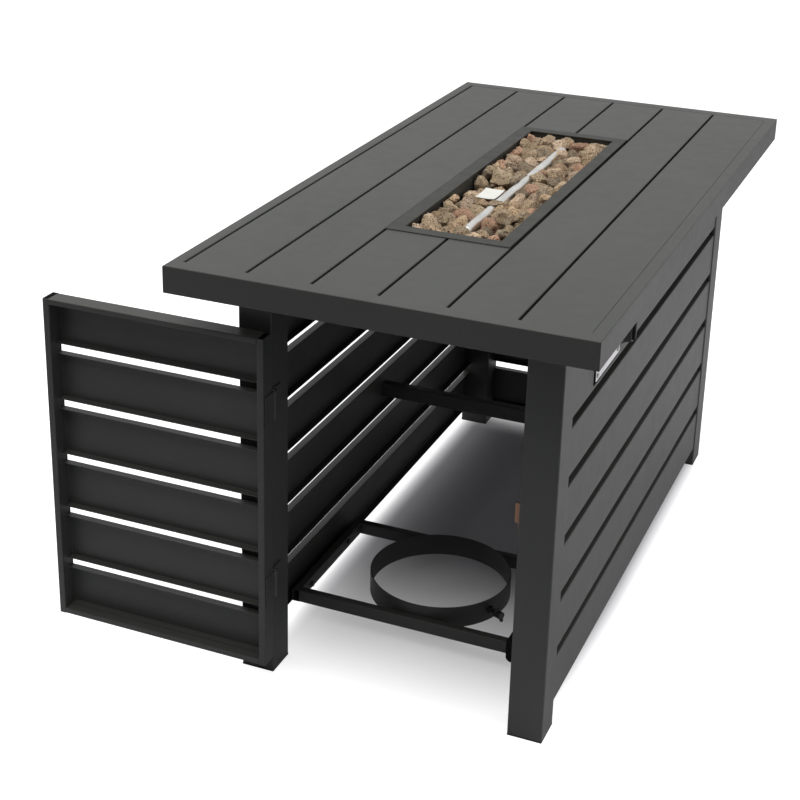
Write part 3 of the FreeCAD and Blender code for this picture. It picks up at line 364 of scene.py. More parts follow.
def moulded(name, colour, roughness, specular=0.5):
    made, tree, surface, coords = new_surface(name)
    clouded(tree, surface, noise_node(tree, coords, MOULD_CLOUDS), colour, 0.8, 1.25)
    patches = noise_node(tree, coords, MOULD_PATCHES)
    worn = ranged(tree, patches, roughness - MOULD_SPREAD, roughness + MOULD_SPREAD)
    feed(tree, surface.inputs["Roughness"], worn)
    surface.inputs["Specular IOR Level"].default_value = specular
    bumped(tree, surface, noise_node(tree, coords, MOULD_GRAIN, 2.0), 0.12, MOULD_GRAIN_DEPTH)
    return made


def soft_block(bm, lo, hi, soft, segments=3):
    part = block(lo, hi)
    rounded(part, part.edges[:], soft, segments)
    add_part(bm, part)


black_plastic = moulded("black_moulded_plastic", BLACK_PLASTIC, 0.5, 0.3)

bm = bmesh.new()
plug_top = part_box("foot_glides")[1].z
inset = Vector((PLUG_INSET, PLUG_INSET, 0))
for corner in CORNERS:
    leg_lo, leg_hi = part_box("leg_" + corner)
    soft_block(bm, Vector((leg_lo.x, leg_lo.y, 0)), Vector((leg_hi.x, leg_hi.y, leg_lo.z)), PAD_EDGE)
    plug_lo = Vector((leg_lo.x, leg_lo.y, PAD_EDGE)) + inset
    soft_block(bm, plug_lo, Vector((leg_hi.x, leg_hi.y, plug_top)) - inset, PAD_EDGE)
made_piece(bm, "foot_pads", "frame", black_plastic, "black_plastic", "foot_glides")

# Side and rear boards. Six sheet steel boards a side, folded along both edges with the open side
# inwards, welded between the legs with an even slot between them.
BOARD_SLOT = 0.015
BOARD_WALL = 0.001
BOARD_BEND = 0.0016


def folded_board(bm, lo, hi, along, back, wall, bend):
    part = block(lo, hi)
    gone = [face for face in part.faces if abs(face.normal[along]) > 0.9 or face.normal.dot(back) > 0.9]
    bmesh.ops.delete(part, geom=gone, context="FACES_ONLY")
    rounded(part, [edge for edge in part.edges if len(edge.link_faces) == 2], bend)
    bmesh.ops.solidify(part, geom=part.faces[:], thickness=wall)
    add_part(bm, part)


def board_rows(node, count):
    lo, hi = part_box(node)
    height = (hi.z - lo.z - (count - 1) * BOARD_SLOT) / count
    feet = [lo.z + row * (height + BOARD_SLOT) for row in range(count)]
    return [(Vector((lo.x, lo.y, foot)), Vector((hi.x, hi.y, foot + height))) for foot in feet]


for side, count, along, back in (
    ("left_panel_", 6, 1, Vector((1, 0, 0))),
    ("right_panel_", 5, 1, Vector((-1, 0, 0))),
    ("rear_panel_", 6, 0, Vector((0, -1, 0))),
):
    bm = bmesh.new()
    for lo, hi in board_rows(side + "boards", count):
        folded_board(bm, lo, hi, along, back, BOARD_WALL, BOARD_BEND)
    coated_piece(bm, side + "folded_boards", "frame", side + "boards")

# Control board. The top board on the right is folded like the rest, and punched for the valve's
# stem, the igniter and the plate's four screws.
STEM_HOLE = 0.005
IGNITER_HOLE = 0.0091
SCREW_HOLE = 0.0018
SCREW_HEAD = 0.0036
PUNCH_DEPTH = 0.01
RIGHTWARDS = Vector((1, 0, 0))


def middle(node):
    lo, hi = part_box(node)
    return (lo + hi) / 2


def drill(bm, place, direction, radius, depth, segments=24):
    turn = Vector((0, 0, 1)).rotation_difference(direction).to_matrix().to_4x4()
    bmesh.ops.create_cone(bm, cap_ends=True, segments=segments, radius1=radius, radius2=radius, depth=depth,
                          matrix=Matrix.Translation(place) @ turn)


def cut_out(piece, cutter_bm):
    mesh = bpy.data.meshes.new("cutter")
    cutter_bm.to_mesh(mesh)
    cutter_bm.free()
    cutter = bpy.data.objects.new("cutter", mesh)
    scene.collection.objects.link(cutter)
    cut = piece.modifiers.new("cut", "BOOLEAN")
    cut.operation = "DIFFERENCE"
    cut.object = cutter
    bpy.context.view_layer.update()
    shaped = bpy.data.meshes.new_from_object(piece.evaluated_get(bpy.context.evaluated_depsgraph_get()))
    piece.modifiers.remove(cut)
    piece.data = shaped
    shaped.set_sharp_from_angle(angle=CREASE)
    bpy.data.objects.remove(cutter)


bm = bmesh.new()
board_lo, board_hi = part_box("control_board")
folded_board(bm, board_lo, board_hi, 1, -RIGHTWARDS, BOARD_WALL, BOARD_BEND)
control_board = coated_piece(bm, "control_folded_board", "frame", "control_board")
holes = bmesh.new()
for node, radius in (("knob", STEM_HOLE), ("igniter_button", IGNITER_HOLE)):
    place = Vector((board_hi.x, middle(node).y, middle(node).z))
    drill(holes, place, RIGHTWARDS, radius, PUNCH_DEPTH)
screws_lo, screws_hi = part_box("control_screws")
for y in (screws_lo.y + SCREW_HEAD, screws_hi.y - SCREW_HEAD):
    for z in (screws_lo.z + SCREW_HEAD, screws_hi.z - SCREW_HEAD):
        drill(holes, Vector((board_hi.x, y, z)), RIGHTWARDS, SCREW_HOLE, PUNCH_DEPTH, 12)
cut_out(control_board, holes)

# Aprons, header and stretcher. Rectangular steel tubes welded between the legs under the deck,
# and one between the side panels halfway up.
TUBE_WALL = 0.0012
TUBE_BEND = 0.0018
SIDE_APRON = 0.020


def at_both_ends(node, axis, size):
    lo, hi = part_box(node)
    near_hi = hi.copy()
    near_hi[axis] = lo[axis] + size
    far_lo = lo.copy()
    far_lo[axis] = hi[axis] - size
    return [(lo, near_hi), (far_lo, hi)]


def paired_tubes(node, axis, size, along, bend, name, body):
    bm = bmesh.new()
    for lo, hi in at_both_ends(node, axis, size):
        square_tube(bm, lo, hi, along, TUBE_WALL, bend)
    coated_piece(bm, name, body, node)


for node in ("apron_rear", "apron_front", "mid_stretcher"):
    bm = bmesh.new()
    square_tube(bm, *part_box(node), 0, TUBE_WALL, TUBE_BEND)
    coated_piece(bm, node + "_tube", "frame", node)
paired_tubes("aprons_side", 0, SIDE_APRON, 1, TUBE_BEND, "side_apron_tubes", "frame")

# Tabletop rails. Four hollow rails mitred at the corners and welded into a frame; the joints are
# ground flush, so only a hair line shows. The planks' ends are welded flush to the front rail.
RAIL_WALL = 0.0012
RAIL_BEND = 0.0016
MITRE_LINE = 0.00006
NEAR_CORNER = 0.02


def mitred_rail(node, along):
    lo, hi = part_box(node)
    centre = (lo + hi) / 2
    bm = block(lo, hi)
    ends = [face for face in bm.faces if abs(face.normal[along]) > 0.9]
    bmesh.ops.delete(bm, geom=ends, context="FACES_ONLY")
    run = [edge for edge in bm.edges if len(edge.link_faces) == 2]
    if node == "top_end_rail_front":
        run = [edge for edge in run if edge.verts[0].co.z < centre.z or edge.verts[0].co.y < centre.y]
    if node == "top_side_rail_right":
        run = [edge for edge in run if edge.verts[0].co.z < centre.z or edge.verts[0].co.x > centre.x]
    rounded(bm, run, RAIL_BEND)
    side_lo, side_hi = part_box("top_side_rail_right")
    end_lo, end_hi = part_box("top_end_rail_rear")
    seam = Vector((end_hi.y - end_lo.y, side_lo.x - side_hi.x, 0)).normalized()
    for right, back in ((1, 1), (1, -1), (-1, 1), (-1, -1)):
        corner = Vector((side_hi.x * right, end_hi.y * back, 0))
        if (corner - centre).xy.length > (hi - lo).length / 2 + NEAR_CORNER:
            continue
        away = Vector((-seam.x * right, -seam.y * back, 0)) * (1 if along == 1 else -1)
        bmesh.ops.bisect_plane(bm, geom=bm.verts[:] + bm.edges[:] + bm.faces[:],
                               plane_co=corner - away * MITRE_LINE, plane_no=away, clear_outer=True)
    bmesh.ops.solidify(bm, geom=bm.faces[:], thickness=RAIL_WALL)
    return bm


for rail, along in (("side_rail_right", 1), ("side_rail_left", 1),
                    ("end_rail_front", 0), ("end_rail_rear", 0)):
    coated_piece(mitred_rail("top_" + rail, along), rail + "_tube", "frame", "top_" + rail)

# Planks. Sheet steel folded down along both long edges, laid side by side with an even groove,
# the middle two cut short at the burner.
PLANK_WALL = 0.0012
PLANK_BEND = 0.0014
RIGHT_LAP = 0.0005
FRONT_GAP = 0.001
PLANKS = ("plank_1", "plank_2", "plank_3_front", "plank_3_rear", "plank_4_front", "plank_4_rear",
          "plank_5", "plank_6")

front_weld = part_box("top_end_rail_front")[1].y
for plank in PLANKS:
    lo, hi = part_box(plank)
    if lo.y < front_weld + FRONT_GAP:
        lo.y = front_weld
    if plank == "plank_6":
        hi.x += RIGHT_LAP
    bm = bmesh.new()
    folded_board(bm, lo, hi, 1, Vector((0, 0, -1)), PLANK_WALL, PLANK_BEND)
    coated_piece(bm, "folded_" + plank, "frame", plank)

# Bars under the deck. Rectangular tubes that carry the planks over the legs, at the pan's ends
# and at its middle, and the four ledge bars that carry the pan's flange.
END_BAR = 0.040
INNER_BAR = 0.030
MID_BAR_LENGTH = 0.2003


def repaint(node, material):
    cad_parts[node].data.materials.clear()
    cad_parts[node].data.materials.append(material)


paired_tubes("bearers_end", 1, END_BAR, 0, TUBE_BEND, "bearers_end_tubes", "frame")
paired_tubes("bearers_inner", 1, INNER_BAR, 0, TUBE_BEND, "bearers_inner_tubes", "frame")
paired_tubes("bearers_mid", 0, MID_BAR_LENGTH, 0, TUBE_BEND, "bearers_mid_tubes", "frame")
repaint("pan_ledges", anthracite)

# Burner rim and pan. Sheet steel in a matt heat-resistant paint, darker than the table's coat: a
# flat frame with softened edges lying on the flange of a drilled pan.
RIM_SIDE = 0.019
RIM_END = 0.021
RIM_SOFT = 0.0009
RIM_CORNER = 0.0015
BURNER_PAINT = (0.034, 0.034, 0.031)
NEARLY = 1e-5

burner_paint = powder_coat("burner_paint", BURNER_PAINT, (0.48, 0.6))
rim_lo, rim_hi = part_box("burner_rim")
inner_x = rim_hi.x - RIM_SIDE
inner_y = rim_hi.y - RIM_END
bm = bmesh.new()
for left, right, front, rear in (
    (rim_lo.x, rim_hi.x, rim_lo.y, rim_hi.y),
    (-inner_x, inner_x, -inner_y, inner_y),
):
    loop = bmesh.ops.create_grid(bm, x_segments=1, y_segments=1, size=0.5)["verts"]
    bmesh.ops.scale(bm, vec=(right - left, rear - front, 1), verts=loop)
    bmesh.ops.translate(bm, vec=((left + right) / 2, (front + rear) / 2, rim_hi.z), verts=loop)
bmesh.ops.delete(bm, geom=bm.faces[:], context="FACES_ONLY")
bmesh.ops.bridge_loops(bm, edges=bm.edges[:])
bmesh.ops.recalc_face_normals(bm, faces=bm.faces[:])
if bm.faces[0].normal.z < 0:
    bmesh.ops.reverse_faces(bm, faces=bm.faces[:])
bmesh.ops.solidify(bm, geom=bm.faces[:], thickness=rim_hi.z - rim_lo.z)
outer_corners = [edge for edge in bm.edges if abs(edge.verts[0].co.z - edge.verts[1].co.z) > NEARLY
                 and abs(edge.verts[0].co.y) > (inner_y + rim_hi.y) / 2]
rounded(bm, outer_corners, RIM_CORNER, 3)
bm.normal_update()
upper = [edge for edge in bm.edges if min(vert.co.z for vert in edge.verts) > rim_hi.z - NEARLY
         and edge.calc_face_angle(0) > 1.0]
rounded(bm, upper, RIM_SOFT, 3)
made_piece(bm, "rim_plate", "frame", burner_paint, "dark_burner_paint", "burner_rim")
repaint("burner_pan", burner_paint)

# Burner tube. A straight stainless tube with rounded ends and a row of gas ports along its crown,
# a little stained all along.
TUBE_END_SOFT = 0.003
PORT_COUNT = 30
PORT_PITCH = 0.015
PORT_RADIUS = 0.00125
PORT_DEPTH = 0.005
METAL_CLOUDS = 25.0
METAL_LINES = 900.0
METAL_LINE_DEPTH = 0.0001


def bright_metal(name, colour, roughness, grain=(1, 1, 1), bump=0.1):
    made, tree, surface, coords = new_surface(name)
    surface.inputs["Metallic"].default_value = 1.0
    stretched = tree.nodes.new("ShaderNodeMapping")
    stretched.inputs["Scale"].default_value = grain
    tree.links.new(coords, stretched.inputs["Vector"])
    lines = noise_node(tree, stretched.outputs["Vector"], METAL_LINES, 4.0)
    clouded(tree, surface, noise_node(tree, coords, METAL_CLOUDS, 4.0), colour, 0.85, 1.0)
    feed(tree, surface.inputs["Roughness"], ranged(tree, lines, *roughness))
    bumped(tree, surface, lines, bump, METAL_LINE_DEPTH)
    return made


drawn_steel = bright_metal("drawn_steel", (0.80, 0.80, 0.78), (0.24, 0.4), (1, 0.05, 1))
tube_lo, tube_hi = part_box("burner_tube")
bm = bmesh.new()
drill(bm, middle("burner_tube"), Vector((0, 1, 0)), (tube_hi.z - tube_lo.z) / 2, tube_hi.y - tube_lo.y, 40)
bm.normal_update()
rounded(bm, [edge for edge in bm.edges if edge.calc_face_angle(0) > 1.0], TUBE_END_SOFT)
gas_tube = made_piece(bm, "gas_tube", "frame", drawn_steel, "burner_steel", "burner_tube")
ports = bmesh.new()
for number in range(PORT_COUNT):
    place = Vector((0, (number - (PORT_COUNT - 1) / 2) * PORT_PITCH, tube_hi.z))
    drill(ports, place, Vector((0, 0, 1)), PORT_RADIUS, PORT_DEPTH, 12)
cut_out(gas_tube, ports)

# Saddles, inlet and electrode. Two folded zinc-plated saddles, a turned brass inlet with its nut,
# and a white ceramic sleeve with a bent steel wire that sparks to the tube.
SLEEVE_TOP = 0.0237
SAME_PLACE = 2e-6
SAME_PLANE = math.radians(0.6)


def softened(node, name, body, material, slot, soft, limit=40.0, segments=2):
    bm = bmesh.new()
    bm.from_mesh(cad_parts[node].data)
    bmesh.ops.remove_doubles(bm, verts=bm.verts[:], dist=SAME_PLACE)
    bmesh.ops.dissolve_limit(bm, angle_limit=SAME_PLANE, verts=bm.verts[:], edges=bm.edges[:])
    if soft > 0:
        bm.normal_update()
        sharp = [edge for edge in bm.edges if len(edge.link_faces) == 2
                 and edge.calc_face_angle(0) > math.radians(limit)]
        rounded(bm, sharp, soft, segments, True)
    bmesh.ops.triangulate(bm, faces=[face for face in bm.faces if len(face.verts) > 4])
    return made_piece(bm, name, body, material, slot, node)


zinc_plate = bright_metal("zinc_plate", (0.62, 0.62, 0.60), (0.32, 0.5))
bright_brass = bright_metal("bright_brass", (0.72, 0.55, 0.26), (0.2, 0.34))
glazed_ceramic = moulded("glazed_ceramic", (0.72, 0.70, 0.65), 0.22)
softened("burner_brackets", "tube_saddles", "frame", zinc_plate, "zinc_steel", 0.0004)
softened("burner_inlet", "brass_inlet", "frame", bright_brass, "valve_brass", 0.0005)
electrode = softened("igniter_electrode", "spark_electrode", "frame", glazed_ceramic, "ceramic", 0.0003)
electrode.data.materials.append(drawn_steel)
sleeve_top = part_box("burner_pan")[0].z + SLEEVE_TOP
for face in electrode.data.polygons:
    face.material_index = 1 if face.center.z > sleeve_top else 0

# Lava rocks. Loose porous stones, tan, grey brown and some brick red, heaped up to the rim and leaning on the
# tube from both sides, each lump broken off with flat faces, crumbly and pitted all over, with painted shade
# darkening the pits. A bed of plain lumps fills the depth below them.
STONE_SEED = 23
STONE_SIZES = ((0.0165, 200), (0.0138, 700), (0.0112, 2600), (0.0085, 6000))
STONE_COLOURS = ((0.58, 0.44, 0.32), (0.44, 0.35, 0.26), (0.64, 0.51, 0.39), (0.58, 0.38, 0.29),
                 (0.36, 0.30, 0.24), (0.66, 0.53, 0.43), (0.50, 0.41, 0.31))
STONE_SHADES = (0.66, 1.08)
STONE_FLATS = 11
FLAT_DEPTHS = (0.55, 0.86)
FLATS_LOST = 1.13
CRUMBLES = ((1.5, 0.20), (3.6, 0.15), (8.0, 0.12))
WALL_GAP = 0.0008
TOP_GAP = 0.0006
WALL_REACH = 0.5
TUBE_REACH = 0.86
STONE_PACKING = 0.90
STONE_WIDTHS = (0.92, 1.12)
STONE_HEIGHTS = (0.80, 0.98)
STONE_LEVELS = (-0.0015, 0.0058)
BARE_STRIP = 0.0040
TUBE_END_FREE = 0.004
CROSSING = (-0.108, -0.086, -0.063, -0.045)
CROSSING_DRIFT = 0.003
CROSSING_RADIUS = 0.0125
CROSSING_HEIGHT = 0.006
CARD_CLEARANCE = 1.6
CARD_GAP = 0.0002
PRESSED_MOST = 0.0012
PRESSED_SHARE = 0.3
PITS = 330.0
PIT_DEPTH = 0.0026
GRIT = 420.0
PATCHES = 90.0
BED_LEVEL = 0.6030
BED_ROWS = 18
BED_COLUMNS = (-0.0525, -0.0250, 0.0250, 0.0525)
BED_MARGIN = 0.002
BED_LUMP = (0.0145, 0.0140, 0.0115)


def lump(bm, tint_layer, rng, centre, half, top_limit, fineness=3):
    verts = bmesh.ops.create_icosphere(bm, subdivisions=fineness, radius=1.0)["verts"]
    flats = []
    for flat in range(STONE_FLATS):
        direction = Vector((rng.uniform(-1, 1), rng.uniform(-1, 1), rng.uniform(-1, 1))).normalized()
        flats.append((direction, rng.uniform(*FLAT_DEPTHS)))
    turn = Matrix.Rotation(rng.uniform(0, 6.28), 3, "Z") @ Matrix.Rotation(rng.uniform(-0.5, 0.5), 3, "X")
    seed = Vector((rng.uniform(0, 90), rng.uniform(0, 90), rng.uniform(0, 90)))
    colour = rng.choice(STONE_COLOURS)
    shade = rng.uniform(*STONE_SHADES)
    for vert in verts:
        spot = vert.co.copy()
        for direction, depth in flats:
            over = spot.dot(direction) - depth
            if over > 0:
                spot -= direction * over
        crumble = sum(height * noise.noise(vert.co * scale + seed) for scale, height in CRUMBLES)
        spot *= FLATS_LOST + crumble
        vert.co = centre + turn @ Vector((spot.x * half[0], spot.y * half[1], spot.z * half[2]))
        if vert.co.z > top_limit:
            vert.co.z = top_limit - min(PRESSED_MOST, (vert.co.z - top_limit) * PRESSED_SHARE)
        vert[tint_layer] = (*(channel * shade for channel in colour), 1)


def lava_stone():
    made, tree, surface, coords = new_surface("lava_stone")
    tint = tree.nodes.new("ShaderNodeAttribute")
    tint.attribute_name = "stone_tint"
    pits = tree.nodes.new("ShaderNodeTexVoronoi")
    pits.inputs["Scale"].default_value = PITS
    tree.links.new(coords, pits.inputs["Vector"])
    hollow = ranged(tree, pits.outputs["Distance"], 0.0, 1.0, 0.14, 0.42)
    grit = noise_node(tree, coords, GRIT, 8.0, 0.75)
    patch = ranged(tree, noise_node(tree, coords, PATCHES, 4.0), 0, 1)
    # Painted shade: the stones are much darker in their pits, the hollows of the bump, and a little lighter
    # between them.
    painted_pit_shade = two_tone(tree, hollow, (0.22, 0.19, 0.17), (1.12, 1.10, 1.07))
    in_patches = two_tone(tree, patch, (0.68, 0.64, 0.60), (1.20, 1.16, 1.12))
    tint_with_pit_shade = two_tone(tree, 1.0, tint.outputs["Color"], painted_pit_shade, "MULTIPLY")
    feed(tree, surface.inputs["Base Color"], two_tone(tree, 1.0, tint_with_pit_shade, in_patches, "MULTIPLY"))
    surface.inputs["Roughness"].default_value = 0.95
    surface.inputs["Specular IOR Level"].default_value = 0.25
    height = number_math(tree, "ADD", number_math(tree, "MULTIPLY", hollow, 0.6), grit)
    bumped(tree, surface, height, 1.0, PIT_DEPTH)
    return made


rng = random.Random(STONE_SEED)
card_lo, card_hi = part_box("paper_tag")
stone_x = inner_x - WALL_GAP
stone_y = inner_y - WALL_GAP
stone_top = rim_hi.z - TOP_GAP
bm = bmesh.new()
tint_layer = bm.verts.layers.float_color.new("stone_tint")
for row in range(BED_ROWS):
    for x in BED_COLUMNS:
        y = (row + 0.5) * 2 * (stone_y - BED_MARGIN) / BED_ROWS - stone_y + BED_MARGIN
        lump(bm, tint_layer, rng, Vector((x, y, BED_LEVEL)), BED_LUMP, stone_top, 2)
laid = []
for radius, tries in STONE_SIZES:
    for attempt in range(tries):
        x = rng.uniform(-1, 1) * (stone_x - radius * WALL_REACH)
        y = rng.uniform(-1, 1) * (stone_y - radius * WALL_REACH)
        if abs(x) < BARE_STRIP + radius * TUBE_REACH and abs(y) < tube_hi.y - TUBE_END_FREE:
            continue
        if any((x - u) ** 2 + (y - v) ** 2 < ((radius + r) * STONE_PACKING) ** 2 for u, v, r in laid):
            continue
        laid.append((x, y, radius))
for y in CROSSING:
    laid.append((rng.uniform(-CROSSING_DRIFT, CROSSING_DRIFT), y, CROSSING_RADIUS))
for x, y, radius in laid:
    near = CARD_CLEARANCE * radius
    near_card = card_lo.x - near < x < card_hi.x + near and card_lo.y - near < y < card_hi.y + near
    limit = card_lo.z - CARD_GAP if near_card else stone_top
    on_tube = abs(x) <= CROSSING_DRIFT and abs(y) < tube_hi.y - TUBE_END_FREE
    tall = CROSSING_HEIGHT if on_tube else radius * rng.uniform(*STONE_HEIGHTS)
    half = (radius * rng.uniform(*STONE_WIDTHS), radius * rng.uniform(*STONE_WIDTHS), tall)
    top = limit - rng.uniform(*STONE_LEVELS)
    lump(bm, tint_layer, rng, Vector((x, y, top - tall)), half, limit)
for vert in bm.verts:
    vert.co.x = min(max(vert.co.x, -stone_x), stone_x)
    vert.co.y = min(max(vert.co.y, -stone_y), stone_y)
made_piece(bm, "lava_stones", "frame", lava_stone(), "lava_rock", "lava_rocks")

# Card. A small blank card of matt white stock, left lying on the stones with its corners curled
# up a little.
CARD_WIDTH = 0.030
CARD_LENGTH = 0.050
CARD_THICKNESS = 0.0005
CARD_LIFT = 0.0006
CARD_CURL = 0.0016

card_stock, tree, surface, coords = new_surface("card_stock")
fibre = noise_node(tree, coords, 500.0)
feed(tree, surface.inputs["Base Color"],
     two_tone(tree, ranged(tree, fibre, 0, 1), (0.78, 0.78, 0.76), (0.86, 0.86, 0.85)))
surface.inputs["Roughness"].default_value = 0.7
bumped(tree, surface, fibre, 0.1, 0.0001)
bm = bmesh.new()
bmesh.ops.create_grid(bm, x_segments=8, y_segments=12, size=0.5)
for vert in bm.verts:
    curl = (2 * vert.co.y) ** 2 * CARD_CURL + (2 * vert.co.x) ** 2 * CARD_CURL * 0.5
    vert.co = Vector((vert.co.x * CARD_WIDTH, vert.co.y * CARD_LENGTH, curl))
bmesh.ops.solidify(bm, geom=bm.faces[:], thickness=CARD_THICKNESS)
card_middle = middle("paper_tag")
bmesh.ops.translate(bm, vec=(card_middle.x, card_middle.y, card_lo.z + CARD_LIFT), verts=bm.verts)
made_piece(bm, "blank_card", "frame", card_stock, "paper", "paper_tag")

# Control plate. A blank brushed stainless plate on a black rubber gasket that shows as a thin band
# round it, held by four small round-headed screws.
PLATE_SOFT = 0.0004

brushed_plate = bright_metal("brushed_plate", (0.86, 0.86, 0.86), (0.22, 0.42), (1, 0.02, 1), 0.2)
rubber = moulded("black_rubber", (0.012, 0.012, 0.012), 0.85, 0.0)
for node, name, material, slot in (
    ("control_gasket", "plate_gasket", rubber, "black_rubber"),
    ("control_plate", "steel_plate", brushed_plate, "plate_steel"),
):
    bm = bmesh.new()
    soft_block(bm, *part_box(node), PLATE_SOFT, 2)
    made_piece(bm, name, "frame", material, slot, node)
softened("control_screws", "plate_screws", "frame", zinc_plate, "zinc_steel", 0.0007, 60.0, 3)

# Igniter. A black moulded barrel with a round bezel, clamped through the plate and the board, and
# the push button that stands out of it.
softened("igniter_body", "igniter_barrel", "frame", black_plastic, "black_plastic", 0.0006, 60.0, 3)
softened("igniter_button", "push_button", "ignition_button", black_plastic, "black_plastic", 0.0)

# Knob. A black moulded knob that tapers to its dished face, with a raised pointer and a thin bright
# ring that lines the lip round the face. It is pressed on the valve's plated stem.
KNOB_BACK_RADIUS = 0.022
KNOB_FACE_RADIUS = 0.017
FACE_SOFT = 0.0003
FACE_SOFT_DEPTH = 0.0002
SKIRT_SOFT = 0.0006
SKIRT_HEIGHT = 0.0036
SKIRT_STEP = 0.0018
LIP_WIDTH = 0.0009
LIP_DEPTH = 0.0018
RING_WALL = 0.0004
RING_SUNK = 0.0001
POINTER_HALF = 0.003
POINTER_MARGIN = 0.0024
POINTER_SOFT = 0.0010
BORE_RADIUS = 0.0042
BORE_DEPTH = 0.0122

knob_lo, knob_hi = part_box("knob")
depth = knob_hi.x - POINTER_HALF - knob_lo.x
knob_back = Vector((knob_lo.x, middle("knob").y, middle("knob").z))


def turned(bm, profile, segments=64):
    verts = [bm.verts.new((x, 0, radius)) for x, radius in profile]
    edges = [bm.edges.new(pair) for pair in zip(verts, verts[1:])]
    bmesh.ops.spin(bm, geom=verts + edges, cent=(0, 0, 0), axis=(1, 0, 0), angle=2 * math.pi, steps=segments,
                   use_merge=True)
    bmesh.ops.remove_doubles(bm, verts=bm.verts[:], dist=1e-6)
    bmesh.ops.recalc_face_normals(bm, faces=bm.faces[:])


lip_radius = KNOB_FACE_RADIUS - LIP_WIDTH
bm = bmesh.new()
turned(bm, (
    (0.0, BORE_RADIUS), (0.0, KNOB_BACK_RADIUS - SKIRT_SOFT), (SKIRT_SOFT, KNOB_BACK_RADIUS),
    (SKIRT_HEIGHT - SKIRT_SOFT, KNOB_BACK_RADIUS - SKIRT_SOFT), (SKIRT_HEIGHT, KNOB_BACK_RADIUS - SKIRT_STEP),
    (depth - FACE_SOFT_DEPTH, KNOB_FACE_RADIUS), (depth, KNOB_FACE_RADIUS - FACE_SOFT), (depth, lip_radius),
    (depth - LIP_DEPTH, lip_radius), (depth - LIP_DEPTH, 0.0), (BORE_DEPTH, 0.0), (BORE_DEPTH, BORE_RADIUS),
    (0.0, BORE_RADIUS)))
reach = KNOB_FACE_RADIUS - POINTER_MARGIN
soft_block(bm, Vector((depth - POINTER_HALF, -POINTER_HALF, -reach)),
           Vector((depth + POINTER_HALF, POINTER_HALF, reach)), POINTER_SOFT)
bmesh.ops.translate(bm, vec=knob_back, verts=bm.verts)
made_piece(bm, "tapered_knob", "control_knob", black_plastic, "black_plastic", "knob")
bm = bmesh.new()
ring_in = lip_radius - RING_WALL
ring_front = depth - RING_SUNK
turned(bm, (
    (depth - LIP_DEPTH, ring_in), (ring_front, ring_in), (ring_front, lip_radius),
    (depth - LIP_DEPTH, lip_radius), (depth - LIP_DEPTH, ring_in)))
bmesh.ops.translate(bm, vec=knob_back, verts=bm.verts)
made_piece(bm, "knob_ring", "control_knob", zinc_plate, "zinc_steel")
softened("valve_stem", "plated_stem", "control_knob", zinc_plate, "zinc_steel", 0.0004)

# Valve and pipe. A brass valve body with its threaded inlet nipple, and the bent pipe that carries
# the gas from it under the pan to the burner.
softened("gas_valve", "brass_valve", "frame", bright_brass, "valve_brass", 0.0008, 50.0, 2)
softened("feed_pipe", "bent_gas_pipe", "frame", bright_brass, "valve_brass", 0.0)

# Tank tray. Two cross rails and two side bars of square tube along the panels' feet, with the
# bolts that hold them, and the flat steel ring that takes the cylinder's foot. A black screw
# with its washer goes through a nut on the ring and clamps the foot.
TRAY_TUBE = 0.012
TRAY_BEND = 0.0012
BOLT_PLACES = ((-0.164, 0.045), (-0.300, 0.042))
BOLT_HEAD = 0.0045
BOLT_DEPTH = 0.0035
BOLT_SOFT = 0.0004

paired_tubes("tray_rails", 1, TRAY_TUBE, 0, TRAY_BEND, "tray_rail_tubes", "frame")
paired_tubes("tray_side_bars", 0, TRAY_TUBE, 1, TRAY_BEND, "tray_bar_tubes", "frame")
bolt_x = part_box("tray_side_bars")[1].x - TRAY_TUBE - BOLT_DEPTH / 2
bm = bmesh.new()
for side in (-1, 1):
    for y, z in BOLT_PLACES:
        drill(bm, Vector((side * bolt_x, y, z)), RIGHTWARDS, BOLT_HEAD, BOLT_DEPTH, 6)
bm.normal_update()
rounded(bm, bm.edges[:], BOLT_SOFT, 2)
coated_piece(bm, "tray_bolts", "frame")

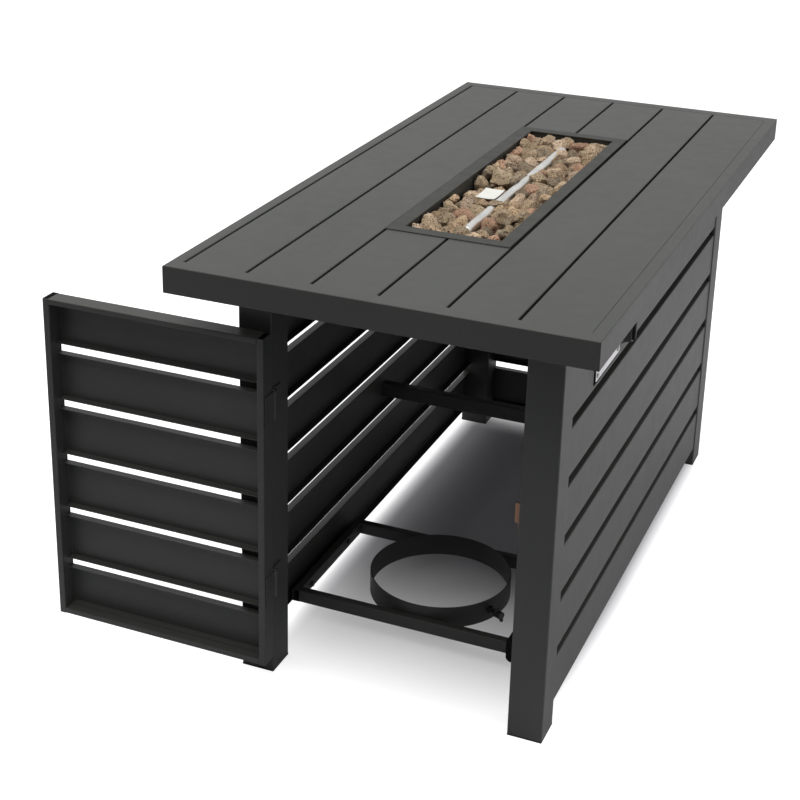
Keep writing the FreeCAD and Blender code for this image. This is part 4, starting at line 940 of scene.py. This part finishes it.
softened("tank_ring", "flat_ring", "frame", anthracite, "anthracite_paint", 0.0005, 50.0, 2)
black_oxide = bright_metal("black_oxide", (0.09, 0.09, 0.095), (0.3, 0.45))
softened("ring_nut", "welded_nut", "frame", black_oxide, "zinc_steel", 0.0004)
softened("ring_washer", "loose_washer", "clamp_washer", black_oxide, "zinc_steel", 0.0002)
softened("ring_screw", "clamp_thumb_screw", "clamp_screw", black_oxide, "zinc_steel", 0.0005, 50.0, 3)

# Door. A frame of slim tubes with six folded boards, level with the side panels' boards, their
# open side towards the inside of the table when it is shut.
DOOR_BEND = 0.0014
DOOR_STILE = 0.010
DOOR_RAIL = 0.008

paired_tubes("door_stiles", 0, DOOR_STILE, 2, DOOR_BEND, "door_stile_tubes", "door")
paired_tubes("door_rails", 2, DOOR_RAIL, 0, DOOR_BEND, "door_rail_tubes", "door")
door_lo, door_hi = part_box("door_boards")
bm = bmesh.new()
for lo, hi in board_rows("left_panel_boards", 6):
    foot = Vector((door_lo.x, door_lo.y, max(lo.z, door_lo.z)))
    top = Vector((door_hi.x, door_hi.y, min(hi.z, door_hi.z)))
    folded_board(bm, foot, top, 0, Vector((0, -1, 0)), BOARD_WALL, BOARD_BEND)
coated_piece(bm, "door_folded_boards", "door", "door_boards")

# Hinges. Two painted butt hinges with three knuckles each on plated pins; the leaves are screwed
# to the leg's inner face and to the door's edge stile.
softened("hinge_frame_leaves", "leg_hinge_leaves", "frame", anthracite, "anthracite_paint", 0.0004, 60.0)
softened("hinge_door_leaves", "door_hinge_leaves", "door", anthracite, "anthracite_paint", 0.0004, 60.0)
softened("hinge_pins", "plated_hinge_pins", "frame", zinc_plate, "zinc_steel", 0.0006, 60.0, 3)

# Catch and stop. A brass-coloured angle and a rounded rubber block on the right front leg, which
# the shut door rests against.
plated_catch = bright_metal("plated_catch", (0.20, 0.125, 0.085), (0.4, 0.55))
softened("door_catch", "catch_angle", "frame", plated_catch, "catch_brass", 0.0006)
softened("door_stop", "rubber_stop", "frame", rubber, "black_rubber", 0.0)
